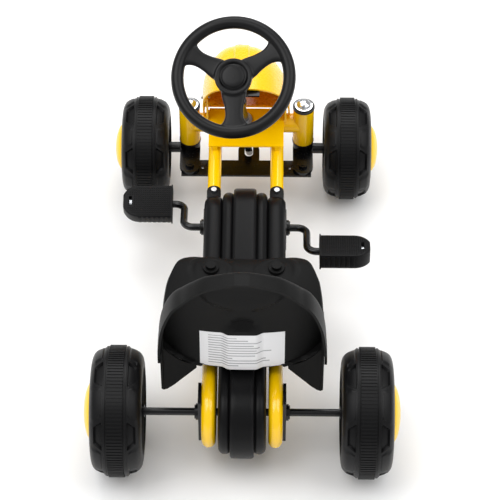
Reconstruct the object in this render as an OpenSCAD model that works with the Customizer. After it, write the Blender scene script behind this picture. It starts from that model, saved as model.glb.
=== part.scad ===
// Child's pedal go kart: two bent frame rails, a front beam with kingpins, slot-and-crank
// steering, an enclosed chain drive to the rear axle, a bucket seat and a front fairing.
// +X is to the rider's right, +Y is forward and +Z is up; the ground is z = 0.

/* [Overall] */
// Length from the back of the rear wheels to the nose of the fairing
overall_length = 800; // [760:1:880]
// Width over the hub caps of the rear wheels
overall_width = 490; // [460:1:580]
// Width over the hub caps of the front wheels
front_width = 447; // [430:1:540]
// Distance between the rear axle and the front stub axles
wheelbase = 568; // [560:1:600]

/* [Wheels] */
// Diameter of the rear wheels
rear_wheel_d = 205; // [190:1:230]
// Diameter of the front wheels
front_wheel_d = 174; // [165:1:190]
// Width of every tyre
tyre_w = 80; // [70:1:84]
// Width of the ribbed band around the tread
tread_w = 24.5; // [18:0.5:32]
// Wall of the blow-moulded tyres
tyre_wall = 3; // [2:0.5:4]
// Diameter of the rear hub caps
rear_cap_d = 92; // [80:1:100]
// Diameter of the front hub caps
front_cap_d = 78; // [66:1:80]
// How far a hub cap stands out from its tyre
cap_proud = 12.5; // [8:0.5:14]
// Diameter of the rear axle, the stub axles and the crank rod
axle_d = 12; // [10:0.5:14]

/* [Frame] */
// Outside diameter of the frame rails
rail_d = 22; // [19:0.5:25]
// Wall of every frame tube
tube_wall = 2; // [1.2:0.1:2.5]
// Distance from the centre line of the kart to a rail
rail_x = 51.6; // [50:0.1:56]
// Height of the rails' upper run
rail_z = 147; // [142:1:150]
// Outside diameter of the front beam
beam_d = 33; // [30:1:36]
// Height of the front beam
beam_z = 150; // [146:1:154]
// Distance from the centre line of the kart to a kingpin
kingpin_x = 96; // [92:1:100]
// Outside diameter of the kingpin tubes
kingpin_tube_d = 35; // [32:1:37]
// Height of the foot of the kingpin tubes
kingpin_tube_z = 110; // [109:1:114]
// Length of the kingpin tubes
kingpin_tube_h = 78; // [70:1:84]
// Diameter of the kingpins
kingpin_d = 10; // [8:0.5:12]

/* [Steering] */
// Distance of the tie bar bolts behind the kingpins
arm_l = 47; // [44:1:50]
// Distance of the crank pin from the column's axis
steer_crank = 38; // [36:1:40]
// Diameter of the steering column
column_d = 12; // [11:0.5:13]
// Height of the steering wheel's hub
wheel_hub_z = 440; // [420:1:460]
// Distance of the steering wheel's hub ahead of the rear axle
wheel_hub_y = 393; // [385:1:400]
// Sideways lean of the hub towards the rider's left
wheel_hub_lean = 18; // [0:1:20]
// Diameter over the steering wheel's rim
steering_wheel_d = 194; // [170:1:210]
// Thickness of the steering wheel's rim
rim_d = 20; // [16:1:24]

/* [Drive] */
// Distance of the crank ahead of the rear axle
crank_y = 356; // [350:1:360]
// Height of the crank
crank_z = 125; // [122:1:126]
// Throw of the crank
crank_r = 65; // [60:1:68]
// Angle of the left crank arm above straight ahead
crank_angle = -14; // [-20:1:0]
// Teeth on the crank's sprocket
crank_teeth = 24; // [20:1:24]
// Teeth on the axle's sprocket
axle_teeth = 18; // [14:1:20]
// Pitch of the chain
chain_pitch = 12.7; // [9.5:0.1:12.7]
// Radius of the chain cover around the crank
cover_front_r = 64; // [62:1:66]
// Radius of the chain cover around the rear axle
cover_rear_r = 71; // [68:1:74]
// Wall of the moulded covers
cover_wall = 2.5; // [2:0.1:3]
// Width of a pedal, along its spindle
pedal_w = 84; // [76:1:90]
// Length of a pedal, front to back
pedal_l = 56; // [50:1:60]
// Thickness of a pedal
pedal_h = 26; // [22:1:28]

/* [Seat and fairing] */
// Width of the seat
seat_w = 248; // [220:1:256]
// Height of the top of the seat back
seat_top_z = 400; // [370:1:420]
// Wall of the seat
seat_wall = 4; // [3:0.5:5]
// Width of the fairing at its foot
fairing_w = 146; // [138:1:150]
// Height of the top of the fairing
fairing_top_z = 305; // [285:1:315]
// Wall of the fairing
fairing_wall = 3; // [2:0.5:4]

/* [Hidden] */
$fn = 64;

run = 0.05;          // radial clearance of a running fit
seat_gap = 0.2;      // gap between pieces that are welded or rest on each other
body_gap = 0.3;      // gap between pieces that move past each other
clear = 0.5;         // radial clearance of a hole that a part only passes through
eps = 0.01;

rear_y = -overall_length / 2 + rear_wheel_d / 2;
rear_z = rear_wheel_d / 2;
front_y = rear_y + wheelbase;
front_z = front_wheel_d / 2;
nose_y = overall_length / 2;
cranks_y = rear_y + crank_y;
rear_tyre_x = overall_width / 2 - cap_proud - tyre_w;
front_tyre_x = front_width / 2 - cap_proud - tyre_w;
axle_r = axle_d / 2;
rail_r = rail_d / 2;
kingpin_tube_top = kingpin_tube_z + kingpin_tube_h;

// wheel hub, measured outwards from the tyre's inner plane
hub_in = 6;
hub_out = tyre_w - 14;
bush_r = axle_r + 3;
hub_r = bush_r + 4;
nut_h = 8;
nut_af = axle_d * 1.5;
cap_seat = 4;
cap_lip = 6;

// hoops and plates
hoop_r = rail_z - rear_z;
lower_run = 168;
plate_x = rail_x + rail_r + seat_gap;
plate_t = 5;
plate_w = 40;
boss_r = axle_r + 5;
boss_l = 9;
cross_z = rear_z - hoop_r - 4;
cross_d = 14;
cross_y = rear_y + lower_run - 8;

// sprockets and chain
function pitch_r(teeth) = chain_pitch / 2 / sin(180 / teeth);
roller_r = chain_pitch / 3.2;
sprocket_t = 3;
sprocket_bore = axle_r + run;
sprocket_hub_r = axle_r + 6;
sprocket_hub_l = 14;
chain_gap = 0.4;
link_t = 1.2;

// covers: a centre rib, two middle lobes and, over the rails, two outer lobes
rib_x = 18.5;
mid_x = 37;
lobe_x = 66.5;
lobe_step = 9;
lobe_back = 95;
crank_plate_top = rail_z + 1;
cover_split = 28;
lug_y = cranks_y + 48;
lug_r = 13;
lug_t = 3;
cover_hole_r = sprocket_hub_r + 2;
cover_bolt_d = 5;

// kingpins, knuckles and tie bar
knuckle_w = 34;
bush_flange_t = 3;
knuckle_top = kingpin_tube_z - bush_flange_t - body_gap;
arm_t = 5;
arm_z = front_z + axle_r - arm_t;
tie_t = 4;
tie_w = 34;
tie_z = arm_z - body_gap - tie_t;
tie_bolt_d = 8;
pin_head_h = 6;
dome_d = 30;
dome_h = 11;

// steering column: it passes through the middle of the front beam
hub_dy = wheelbase - wheel_hub_y;
hub_dz = wheel_hub_z - beam_z;
column_lean = atan(wheel_hub_lean / hub_dz);
column_rise = sqrt(hub_dz * hub_dz + wheel_hub_lean * wheel_hub_lean);
column_tilt = atan(hub_dy / column_rise);
column_l = sqrt(column_rise * column_rise + hub_dy * hub_dy);
column_r = column_d / 2;
column_foot = 20;
column_bend = 8;
pin_drop = 30;
slot_w = column_d + 2;
slot_l = 30;
tab_w = 36;
tab_l = 40;
column_bush_r = column_r + 2.5;
column_bush_flange = beam_d / 2 + 7;
bracket_at = 158;
// where the crank pin crosses the tie bar
pin_point = column_point([0, -steer_crank, -(beam_z - tie_z - tie_t / 2
             - steer_crank * sin(column_tilt)) / cos(column_tilt)]);

// A point of the column's own frame, taken to the kart's frame
function column_point(p) =
    let (y1 = p[1] * cos(column_tilt) - p[2] * sin(column_tilt),
         z1 = p[1] * sin(column_tilt) + p[2] * cos(column_tilt))
    [p[0] * cos(column_lean) - z1 * sin(column_lean),
     front_y + y1,
     beam_z + p[0] * sin(column_lean) + z1 * cos(column_lean)];

// front plate
plate_back = front_y - 72;
plate_z = beam_z + beam_d / 2 + seat_gap;
plate_sheet = 3;
fairing_tab_h = 54;
fairing_screw_y = front_y - 2;
fairing_screw_z = plate_z + plate_sheet + fairing_tab_h - 10;
fairing_screw_d = 4;

// crank rod
rod_bend = 16;
rod_x = 85;
arm_x = rod_x + rod_bend;
spindle_x = arm_x + rod_bend;
pedal_x = spindle_x + 4;
pedal_in = 10;
left_pedal_pitch = 18;
right_pedal_pitch = -13;
pedal_bore = axle_r + run;

// seat
seat_foot_x = rail_x;
// seat feet: [distance ahead of the axle, height of the bolt's seat above the pan]
seat_feet = [[200, 22], [82, 13]];
seat_bolt_d = 6;
seat_bolt_head_d = 16;
seat_pan_z = 190;
seat_front_y = 228;
seat_back_y = 31;
seat_rim_y = 7;
seat_foot_r = 12;

// ---------------------------------------------------------------- shared shapes

// Draws a side outline (y, z) as a slab from x0 to x1
module slab(x0, x1) {
    translate([x0, 0, 0]) rotate([90, 0, 90]) linear_extrude(x1 - x0) children();
}

// A rod along X
module rod_x(x0, x1, r, y = 0, z = 0) {
    translate([x0, y, z]) rotate([0, 90, 0]) cylinder(r = r, h = x1 - x0);
}

// Turns a profile (distance along the axle, radius) about the X axis
module turned() {
    rotate([0, 90, 0]) rotate([0, 0, 180]) rotate_extrude() mirror([1, -1, 0]) children();
}

// Puts its children on the left or the right side of the kart
module on_side(side) {
    if (side < 0) mirror([1, 0, 0]) children();
    else children();
}

// Outline of a belt round two circles, the first at the origin and the second at (dy, dz)
module belt(r1, r2, dy, dz) {
    l = sqrt(dy * dy + dz * dz);
    a = atan2(dz, dy);
    b = acos((r1 - r2) / l);
    n = 24;
    polygon(concat(
        [for (i = [0:n]) let (t = a - b + i * 2 * b / n) [dy + r2 * cos(t), dz + r2 * sin(t)]],
        [for (i = [0:n]) let (t = a + b + i * (360 - 2 * b) / n) [r1 * cos(t), r1 * sin(t)]]));
}

// A hexagon nut along X from x0, with a hole for a shaft of radius r
module nut_x(x0, h, af, r) {
    translate([x0, 0, 0]) rotate([0, 90, 0]) difference() {
        cylinder(d = af / cos(30), h = h, $fn = 6);
        translate([0, 0, -1]) cylinder(r = r, h = h + 2);
    }
}

// A closed shell between two grids of points, each grid[row][column]
module grid_shell(outer, inner) {
    rows = len(outer);
    cols = len(outer[0]);
    function at(face, i, j) = face * rows * cols + i * cols + j;
    function quad(a, b, c, d) = [[a, b, c], [a, c, d]];
    polyhedron(
        points = [for (g = [outer, inner]) for (row = g) for (p = row) p],
        faces = [
            for (i = [0:rows - 2]) for (j = [0:cols - 2])
                each quad(at(0, i, j), at(0, i + 1, j), at(0, i + 1, j + 1), at(0, i, j + 1)),
            for (i = [0:rows - 2]) for (j = [0:cols - 2])
                each quad(at(1, i, j), at(1, i, j + 1), at(1, i + 1, j + 1), at(1, i + 1, j)),
            for (i = [0:rows - 2]) each concat(
                quad(at(0, i, 0), at(1, i, 0), at(1, i + 1, 0), at(0, i + 1, 0)),
                quad(at(0, i, cols - 1), at(0, i + 1, cols - 1),
                     at(1, i + 1, cols - 1), at(1, i, cols - 1))),
            for (j = [0:cols - 2]) each concat(
                quad(at(0, 0, j), at(0, 0, j + 1), at(1, 0, j + 1), at(1, 0, j)),
                quad(at(0, rows - 1, j), at(1, rows - 1, j),
                     at(1, rows - 1, j + 1), at(0, rows - 1, j + 1)))
        ]);
}

// ---------------------------------------------------------------- frame

// The bent centre line of a rail, as a solid rod of radius r
module rail_rod(r) {
    translate([0, rear_y, rail_z]) rotate([-90, 0, 0])
        cylinder(r = r, h = wheelbase);
    translate([0, rear_y, rear_z]) rotate([90, 0, 90]) rotate([0, 0, 90])
        rotate_extrude(angle = 180) translate([hoop_r, 0]) circle(r = r);
    translate([0, rear_y, rear_z - hoop_r]) rotate([-90, 0, 0])
        cylinder(r = r, h = lower_run);
}

module rail(side) {
    color("gold") difference() {
        translate([side * rail_x, 0, 0]) rail_rod(rail_r);
        translate([side * rail_x, 0, 0]) rail_rod(rail_r - tube_wall);
        rod_x(-kingpin_x, kingpin_x, beam_d / 2 + seat_gap, front_y, beam_z);
        translate([-kingpin_x, front_y, beam_z - beam_d])
            cube([2 * kingpin_x, beam_d, 2 * beam_d]);
        translate([side * rail_x, lug_y, rail_z]) cylinder(d = cover_bolt_d + 2 * run, h = rail_d);
        for (foot = seat_feet)
            translate([side * rail_x, rear_y + foot[0], rail_z - rail_d])
                cylinder(d = seat_bolt_d + 2 * run, h = 2 * rail_d);
    }
}
module left_rail() rail(-1);
module right_rail() rail(1);

// Black plugs in the front ends of the rails' lower runs
module rail_plugs() {
    color("black") for (s = [-1, 1])
        translate([s * rail_x, rear_y + lower_run, rear_z - hoop_r]) rotate([-90, 0, 0]) {
            cylinder(r = rail_r, h = 3);
            translate([0, 0, -10]) cylinder(r = rail_r - tube_wall - run, h = 10 + eps);
        }
}

module front_beam() {
    x1 = kingpin_x - eps;
    color("gold") difference() {
        rod_x(-x1, x1, beam_d / 2, front_y, beam_z);
        rod_x(-x1 - 1, x1 + 1, beam_d / 2 - tube_wall, front_y, beam_z);
        for (s = [-1, 1]) translate([s * kingpin_x, front_y, 0])
            cylinder(d = kingpin_tube_d + 2 * seat_gap, h = 2 * beam_z);
        on_column() translate([0, 0, -beam_d]) cylinder(r = column_bush_r + run, h = 2 * beam_d);
    }
}

module kingpin_tube(side) {
    color("gold") translate([side * kingpin_x, front_y, kingpin_tube_z]) difference() {
        cylinder(d = kingpin_tube_d, h = kingpin_tube_h);
        translate([0, 0, -1])
            cylinder(d = kingpin_tube_d - 2 * tube_wall, h = kingpin_tube_h + 2);
    }
}
module left_kingpin_tube() kingpin_tube(-1);
module right_kingpin_tube() kingpin_tube(1);

// Sheet steel plate over the rails' front ends, with the column's slot
module front_plate() {
    x1 = rail_x + rail_r;
    tab_x = fairing_w / 2 - fairing_wall - 2.9;
    z0 = rail_z + rail_r + seat_gap;
    color("gold") difference() {
        union() {
            translate([-x1, plate_back, plate_z])
                cube([2 * x1, front_y + 14 - plate_back, plate_sheet]);
            for (s = [-1, 1]) on_side(s) {
                translate([x1 - 1, fairing_screw_y - 12, plate_z])
                    cube([tab_x - x1 + 1, 24, plate_sheet]);
                translate([tab_x - plate_sheet, fairing_screw_y - 12, plate_z])
                    cube([plate_sheet, 24, fairing_tab_h]);
            }
            for (s = [-1, 1]) translate([s * rail_x - 4, plate_back, z0])
                cube([8, front_y - beam_d / 2 - 4 - plate_back, plate_z - z0 + eps]);
        }
        on_column() translate([0, 0, -20]) cylinder(r = column_bush_r + 5, h = 60);
        rod_x(-2 * tab_x, 2 * tab_x, fairing_screw_d / 2 + run, fairing_screw_y, fairing_screw_z);
    }
}

// Tube that joins the rails' lower runs below the chain
module cross_tube() {
    color("gold") difference() {
        rod_x(-rail_x, rail_x, cross_d / 2, cross_y, cross_z);
        rod_x(-rail_x - 1, rail_x + 1, cross_d / 2 - tube_wall, cross_y, cross_z);
        for (s = [-1, 1]) translate([s * rail_x, cross_y - 30, rear_z - hoop_r])
            rotate([-90, 0, 0]) cylinder(r = rail_r + seat_gap, h = 60);
    }
}

// Round-ended side plate with a bearing boss, from z0 to z1 about a shaft at (y, z)
module bearing_plate(y, z, z0, z1) {
    for (s = [-1, 1]) on_side(s) difference() {
        union() {
            slab(plate_x, plate_x + plate_t) translate([y - plate_w / 2, z0])
                square([plate_w, z1 - z0]);
            rod_x(plate_x, plate_x + boss_l, boss_r + 2, y, z);
        }
        rod_x(plate_x - 1, plate_x + boss_l + 1, boss_r - 2, y, z);
    }
}
module crank_plates() {
    color("dimgray") bearing_plate(cranks_y, crank_z, crank_z - 33, crank_plate_top);
}
module axle_plates() {
    color("dimgray") bearing_plate(rear_y, rear_z, rear_z - hoop_r - 4, rail_z + 4);
}

// Nylon bushes that carry the crank and the rear axle
module shaft_bushes() {
    color("white") for (s = [-1, 1]) for (p = [[cranks_y, crank_z], [rear_y, rear_z]])
        on_side(s) translate([0, p[0], p[1]]) difference() {
            union() {
                rod_x(plate_x, plate_x + boss_l, boss_r - 2 - run);
                rod_x(plate_x + boss_l, plate_x + boss_l + 2, boss_r);
            }
            rod_x(plate_x - 1, plate_x + boss_l + 3, axle_r + run);
        }
}

// Black flanged bushes at both ends of the kingpin tubes
module kingpin_bushes() {
    r = kingpin_tube_d / 2 - tube_wall - run;
    color("black") for (s = [-1, 1]) translate([s * kingpin_x, front_y, 0]) difference() {
        for (e = [[kingpin_tube_z - bush_flange_t, kingpin_tube_z],
                  [kingpin_tube_top, kingpin_tube_top - 12]]) union() {
            translate([0, 0, e[0]]) cylinder(d = kingpin_tube_d + 1.5, h = bush_flange_t);
            translate([0, 0, e[1] - (e[1] < beam_z ? eps : 0)]) cylinder(r = r, h = 12 + eps);
        }
        translate([0, 0, kingpin_tube_z - 10])
            cylinder(d = kingpin_d + 2 * run, h = kingpin_tube_h + 20);
    }
}

// ---------------------------------------------------------------- steering

// The column's own frame: its axis is Z, with the middle of the front beam at 0
module on_column() {
    translate([0, front_y, beam_z]) rotate([0, -column_lean, 0]) rotate([column_tilt, 0, 0])
        children();
}

module column_bush() {
    color("black") on_column() difference() {
        union() {
            translate([0, 0, -beam_d / 2 - 1])
                cylinder(r = column_bush_r, h = beam_d / 2 + 1 + column_bush_flange + eps);
            translate([0, 0, column_bush_flange]) cylinder(r = column_bush_r + 2.5, h = 3);
        }
        translate([0, 0, -beam_d]) cylinder(r = column_r + run, h = 3 * beam_d);
    }
}

// Upper support of the column: a collar and a tongue that is screwed under the fairing
module column_bracket() {
    tongue_z = fairing_top_z - fairing_wall - 7;
    tongue_y = front_y + fairing_stations[0][0] + 7;
    color("black") difference() {
        union() {
            on_column() translate([0, 0, bracket_at]) cylinder(r = column_r + 4, h = 16);
            translate([-8, tongue_y - 16, tongue_z]) cube([30, 36, 3]);
        }
        on_column() translate([0, 0, bracket_at - 20]) cylinder(r = column_r + run, h = 60);
        translate([14, tongue_y + 10, tongue_z - 1]) cylinder(d = 4 + 2 * run, h = 8);
    }
}

// Steel rod with a crank at its foot: the crank pin stands in the tie bar's slot
module steering_column() {
    foot = -column_foot;
    elbow_y = -column_bend;
    color("dimgray") on_column() {
        translate([0, 0, foot]) cylinder(r = column_r, h = column_l - foot - 12);
        translate([0, elbow_y, foot]) rotate([90, 0, 90]) rotate([0, 0, -90])
            rotate_extrude(angle = 90) translate([column_bend, 0]) circle(r = column_r);
        translate([0, elbow_y, foot - column_bend]) rotate([90, 0, 0])
            cylinder(r = column_r, h = steer_crank - 2 * column_bend);
        translate([0, -steer_crank + column_bend, foot - 2 * column_bend]) rotate([90, 0, 90])
            rotate([0, 0, 90]) rotate_extrude(angle = 90)
            translate([column_bend, 0]) circle(r = column_r);
        translate([0, -steer_crank, foot - 2 * column_bend - pin_drop])
            cylinder(r = column_r, h = pin_drop);
    }
}

// Collar that carries the column on its bush
module steering_collar() {
    color("silver") on_column() translate([0, 0, column_bush_flange + 3 + body_gap]) difference() {
        cylinder(r = column_r + 5, h = 6);
        translate([0, 0, -1]) cylinder(r = column_r + run, h = 8);
    }
}

// Moulded wheel: round rim, three spokes and a deep hub
module steering_wheel() {
    rim_r = steering_wheel_d / 2 - rim_d / 2;
    hub_rad = 28.5;
    color("black") on_column() translate([0, 0, column_l]) difference() {
        union() {
            rotate_extrude() translate([rim_r, 0]) circle(d = rim_d);
            translate([0, 0, -30]) cylinder(r = hub_rad - 5, h = 22);
            translate([0, 0, -10]) cylinder(r = hub_rad, h = 16);
            for (a = [30, 150, 270]) rotate([0, 0, a]) translate([0, 0, -5])
                linear_extrude(8) polygon([[15, -12], [rim_r, -15], [rim_r, 15], [15, 12]]);
        }
        translate([0, 0, -31]) cylinder(r = column_r + run, h = 19);
        translate([0, 0, 1]) cylinder(r = 19.5, h = 10);
    }
}

module steering_cap() {
    color("black") on_column() translate([0, 0, column_l + 1 + seat_gap]) {
        cylinder(r = 19, h = 4);
        translate([0, 0, 4]) cylinder(r1 = 19, r2 = 16, h = 3);
    }
}

// Knuckle weldment: block, steering arm and stub axle, drawn for the right side
module knuckle(side) {
    tip = front_tyre_x + hub_out + nut_h + 2;
    color("dimgray") on_side(side) translate([0, front_y, 0]) difference() {
        union() {
            translate([kingpin_x, 0, arm_z]) cylinder(d = knuckle_w, h = knuckle_top - arm_z);
            translate([kingpin_x - knuckle_w / 2, -arm_l, arm_z]) cube([knuckle_w, arm_l, arm_t]);
            translate([kingpin_x, -arm_l, arm_z]) cylinder(d = knuckle_w, h = arm_t);
            rod_x(kingpin_x + knuckle_w / 2 - 6, tip, axle_r, 0, front_z);
            rod_x(kingpin_x + knuckle_w / 2 - 2, front_tyre_x + hub_in - 1, axle_r + 3, 0, front_z);
        }
        translate([kingpin_x, 0, arm_z - 1]) cylinder(d = kingpin_d + 2 * run, h = 60);
        translate([kingpin_x, -arm_l, arm_z - 1]) cylinder(d = tie_bolt_d + 2 * run, h = 60);
    }
}
module left_knuckle() knuckle(-1);
module right_knuckle() knuckle(1);

// Kingpin bolt: head below the knuckle, shank up through both bushes
module kingpin(side) {
    z0 = arm_z - seat_gap - pin_head_h;
    top = kingpin_tube_top + bush_flange_t + dome_h - 3;
    color("silver") translate([side * kingpin_x, front_y, 0]) {
        translate([0, 0, z0]) cylinder(d = kingpin_d * 1.9, h = pin_head_h, $fn = 6);
        translate([0, 0, z0]) cylinder(d = kingpin_d, h = top - z0);
    }
}
module left_kingpin() kingpin(-1);
module right_kingpin() kingpin(1);

// Domed chrome nut with a washer face, on top of a kingpin
module kingpin_nut(side) {
    z0 = kingpin_tube_top + bush_flange_t + body_gap;
    color("silver") translate([side * kingpin_x, front_y, z0]) difference() {
        rotate_extrude() polygon(concat([[0, 0], [dome_d / 2, 0], [dome_d / 2, 3]],
            [for (a = [0:15:75]) [(dome_d / 2 - 3) * cos(a), 3.5 + (dome_h - 3.5) * sin(a)]],
            [[0, dome_h]]));
        translate([0, 0, -1]) cylinder(d = kingpin_d + 2 * run, h = dome_h - 1.5);
    }
}
module left_kingpin_nut() kingpin_nut(-1);
module right_kingpin_nut() kingpin_nut(1);

module wheel_nut(side) {
    color("silver") on_side(side) translate([0, front_y, front_z])
        nut_x(front_tyre_x + hub_out + body_gap, nut_h, nut_af, axle_r + run);
}
module left_wheel_nut() wheel_nut(-1);
module right_wheel_nut() wheel_nut(1);

module tie_bolt(side) {
    z0 = tie_z - body_gap - 6;
    z1 = arm_z + arm_t + seat_gap;
    color("dimgray") translate([side * kingpin_x, front_y - arm_l, 0]) {
        translate([0, 0, z0]) cylinder(d = tie_bolt_d, h = z1 - z0 + 6);
        translate([0, 0, z0]) cylinder(d = tie_bolt_d * 1.8, h = 6, $fn = 6);
        translate([0, 0, z1]) cylinder(d = tie_bolt_d * 1.8, h = 5);
    }
}
module left_tie_bolt() tie_bolt(-1);
module right_tie_bolt() tie_bolt(1);

// Flat bar between the two arms, with a slotted tab for the crank pin
module tie_bar() {
    y0 = front_y - arm_l;
    x1 = kingpin_x + tie_w / 2 - 3;
    color("dimgray") difference() {
        union() {
            translate([-x1, y0 - tie_w / 2, tie_z]) cube([2 * x1, tie_w, tie_t]);
            translate([pin_point[0] - tab_w / 2, y0, tie_z]) cube([tab_w, tab_l, tie_t]);
            translate([pin_point[0], y0 + tab_l, tie_z])
                intersection() {
                    cylinder(d = tab_w, h = tie_t);
                    translate([-tab_w / 2, -tab_w / 2, 0]) cube([tab_w, tab_w / 2 + 10, tie_t]);
                }
        }
        for (s = [-1, 1]) translate([s * kingpin_x, y0, tie_z - 1])
            cylinder(d = tie_bolt_d + 4 * run, h = tie_t + 2);
        for (s = [-1, 1]) translate([s * (kingpin_x - 22), y0, tie_z - 1])
            cylinder(d = 5, h = tie_t + 2);
        for (e = [-1, 1]) translate([pin_point[0], pin_point[1] + e * slot_l / 2 - e * slot_w / 2,
                                     tie_z - 1]) cylinder(d = slot_w, h = tie_t + 2);
        translate([pin_point[0] - slot_w / 2, pin_point[1] - (slot_l - slot_w) / 2, tie_z - 1])
            cube([slot_w, slot_l - slot_w, tie_t + 2]);
    }
}

// ---------------------------------------------------------------- wheels

// Half outline of a hollow moulded wheel of radius r with a cap seat of radius cap_r
module tyre_profile(r, cap_r, bore) {
    w = tyre_w;
    t = tyre_wall;
    b = tread_w / 2;
    m = w / 2;
    polygon([
        [hub_in, bore], [hub_in, hub_r], [14, hub_r + 8], [14, r * 0.5], [4, r * 0.62],
        [0, r - 24], [5, r - 9], [14, r - 2], [m - b, r - 2], [m - b, r], [m + b, r],
        [m + b, r - 2], [w - 14, r - 2], [w - 5, r - 9], [w, r - 24], [w, cap_r + clear],
        [w - cap_seat, cap_r + clear], [w - cap_seat, cap_r - cap_lip],
        [w - cap_seat - t, cap_r - cap_lip], [w - cap_seat - t, cap_r + clear + t],
        [w - t, r - 25], [w - 5 - t, r - 12], [w - 15, r - 2 - t], [15, r - 2 - t],
        [5 + t, r - 12], [t, r - 25], [4 + t, r * 0.62 + 1], [14 + t, r * 0.5 + 1],
        [14 + t, hub_r + 7], [hub_in + 8, hub_r], [hub_out, hub_r], [hub_out, bore]]);
}

// side is -1 or 1, x0 the inner plane, (y, z) the axle
module tyre(side, x0, y, z, r, cap_r, bore) {
    color("dimgray") on_side(side) translate([x0, y, z]) turned() tyre_profile(r, cap_r, bore);
}

// Thin domed cap with a spigot inside the tyre's cap seat
module hub_cap(side, x0, y, z, cap_r) {
    w = tyre_w;
    lip = w - cap_seat + seat_gap;
    top = w + cap_proud;
    wall = 2.5;
    function dome(r, a, from) = [from + (top - from) * sin(a) - (r < cap_r ? wall : 0), r * cos(a)];
    color("gold") on_side(side) translate([x0, y, z]) turned() polygon(concat(
        [[lip, cap_r - wall], [lip, cap_r]],
        [for (a = [10:10:80]) dome(cap_r, a, lip + 3)], [[top, 0], [top - wall, 0]],
        [for (a = [80:-10:10]) dome(cap_r - wall, a, lip + 3)]));
}

module wheel_bush(side, x0, y, z) {
    color("white") on_side(side) translate([x0, y, z]) difference() {
        rod_x(hub_in, hub_out, bush_r - run);
        rod_x(hub_in - 1, hub_out + 1, axle_r + run);
    }
}

module front_tyre(side)
    tyre(side, front_tyre_x, front_y, front_z, front_wheel_d / 2, front_cap_d / 2, bush_r);
module rear_tyre(side, bore)
    tyre(side, rear_tyre_x, rear_y, rear_z, rear_wheel_d / 2, rear_cap_d / 2, bore);
module front_left_tyre() front_tyre(-1);
module front_right_tyre() front_tyre(1);
module rear_left_tyre() {
    difference() {
        rear_tyre(-1, axle_r + run);
        drive_pin_rod(drive_pin_l / 2 + 1, drive_pin_d / 2 + run);
    }
}
module rear_right_tyre() rear_tyre(1, bush_r);
module front_left_cap() hub_cap(-1, front_tyre_x, front_y, front_z, front_cap_d / 2);
module front_right_cap() hub_cap(1, front_tyre_x, front_y, front_z, front_cap_d / 2);
module rear_left_cap() hub_cap(-1, rear_tyre_x, rear_y, rear_z, rear_cap_d / 2);
module rear_right_cap() hub_cap(1, rear_tyre_x, rear_y, rear_z, rear_cap_d / 2);
module front_left_bush() wheel_bush(-1, front_tyre_x, front_y, front_z);
module front_right_bush() wheel_bush(1, front_tyre_x, front_y, front_z);
module rear_right_bush() wheel_bush(1, rear_tyre_x, rear_y, rear_z);

// ---------------------------------------------------------------- drive

drive_pin_d = 5;
drive_pin_l = 22;
drive_pin_x = rear_tyre_x + hub_out - 12;
// The cross pin that locks the left rear wheel to the axle
module drive_pin_rod(half, r) {
    translate([-drive_pin_x, rear_y, rear_z - half]) cylinder(r = r, h = 2 * half);
}
module drive_pin() {
    color("silver") drive_pin_rod(drive_pin_l / 2, drive_pin_d / 2);
}

module rear_axle() {
    tip = rear_tyre_x + hub_out + nut_h + 2;
    color("dimgray") difference() {
        rod_x(-tip, tip, axle_r, rear_y, rear_z);
        drive_pin_rod(drive_pin_l, drive_pin_d / 2 + run);
    }
}

module axle_collars() {
    x0 = rear_tyre_x + hub_in - body_gap;
    color("black") translate([0, rear_y, rear_z]) for (s = [-1, 1]) on_side(s) difference() {
        rod_x(x0 - 7, x0, axle_r + 4);
        rod_x(x0 - 8, x0 + 1, axle_r + run);
    }
}

module axle_nuts() {
    color("silver") translate([0, rear_y, rear_z]) for (s = [-1, 1]) on_side(s)
        nut_x(rear_tyre_x + hub_out + body_gap, nut_h, nut_af, axle_r + run);
}

// Toothed disc with a hub on one side, in the plane x = 0
module sprocket(teeth, y, z, turn) {
    r = pitch_r(teeth);
    tooth_d = roller_r + 0.3;
    color("silver") translate([0, y, z]) difference() {
        union() {
            rod_x(-sprocket_t / 2, sprocket_t / 2, r + 2.2);
            rod_x(0, sprocket_hub_l, sprocket_hub_r);
        }
        rod_x(-sprocket_hub_l, sprocket_hub_l + 1, sprocket_bore);
        for (i = [0:teeth - 1]) rotate([turn + i * 360 / teeth, 0, 0])
            rod_x(-sprocket_t, sprocket_t, tooth_d, r, 0);
    }
}
module rear_sprocket() sprocket(axle_teeth, rear_y, rear_z, 0);
module crank_sprocket() sprocket(crank_teeth, cranks_y, crank_z, 0);

// Chain: two rows of link plates round both sprockets, and rollers along the straight runs
module chain() {
    r1 = pitch_r(axle_teeth);
    r2 = pitch_r(crank_teeth);
    dy = crank_y;
    dz = crank_z - rear_z;
    l = sqrt(dy * dy + dz * dz);
    a = atan2(dz, dy);
    b = acos((r1 - r2) / l);
    x0 = sprocket_t / 2 + chain_gap;
    run_l = sqrt(l * l - (r1 - r2) * (r1 - r2));
    count = floor(run_l / chain_pitch) - 3;
    color("silver") translate([0, rear_y, rear_z]) {
        for (s = [-1, 1]) on_side(s) slab(x0, x0 + link_t) difference() {
            belt(r1 + 4.5, r2 + 4.5, dy, dz);
            belt(r1 - 4.5, r2 - 4.5, dy, dz);
        }
        for (t = [a + b, a - b]) for (i = [1:count])
            let (f = (i + 1) / (count + 3), r = (1 - f) * r1 + f * r2)
            rod_x(-x0 - eps, x0 + eps, 2, f * dy + r * cos(t), f * dz + r * sin(t));
    }
}

// Outline of a cover lobe, smaller than the centre rib by step
module lobe_outline(step) {
    belt(cover_rear_r - step, cover_front_r - step, crank_y, crank_z - rear_z);
}

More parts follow.
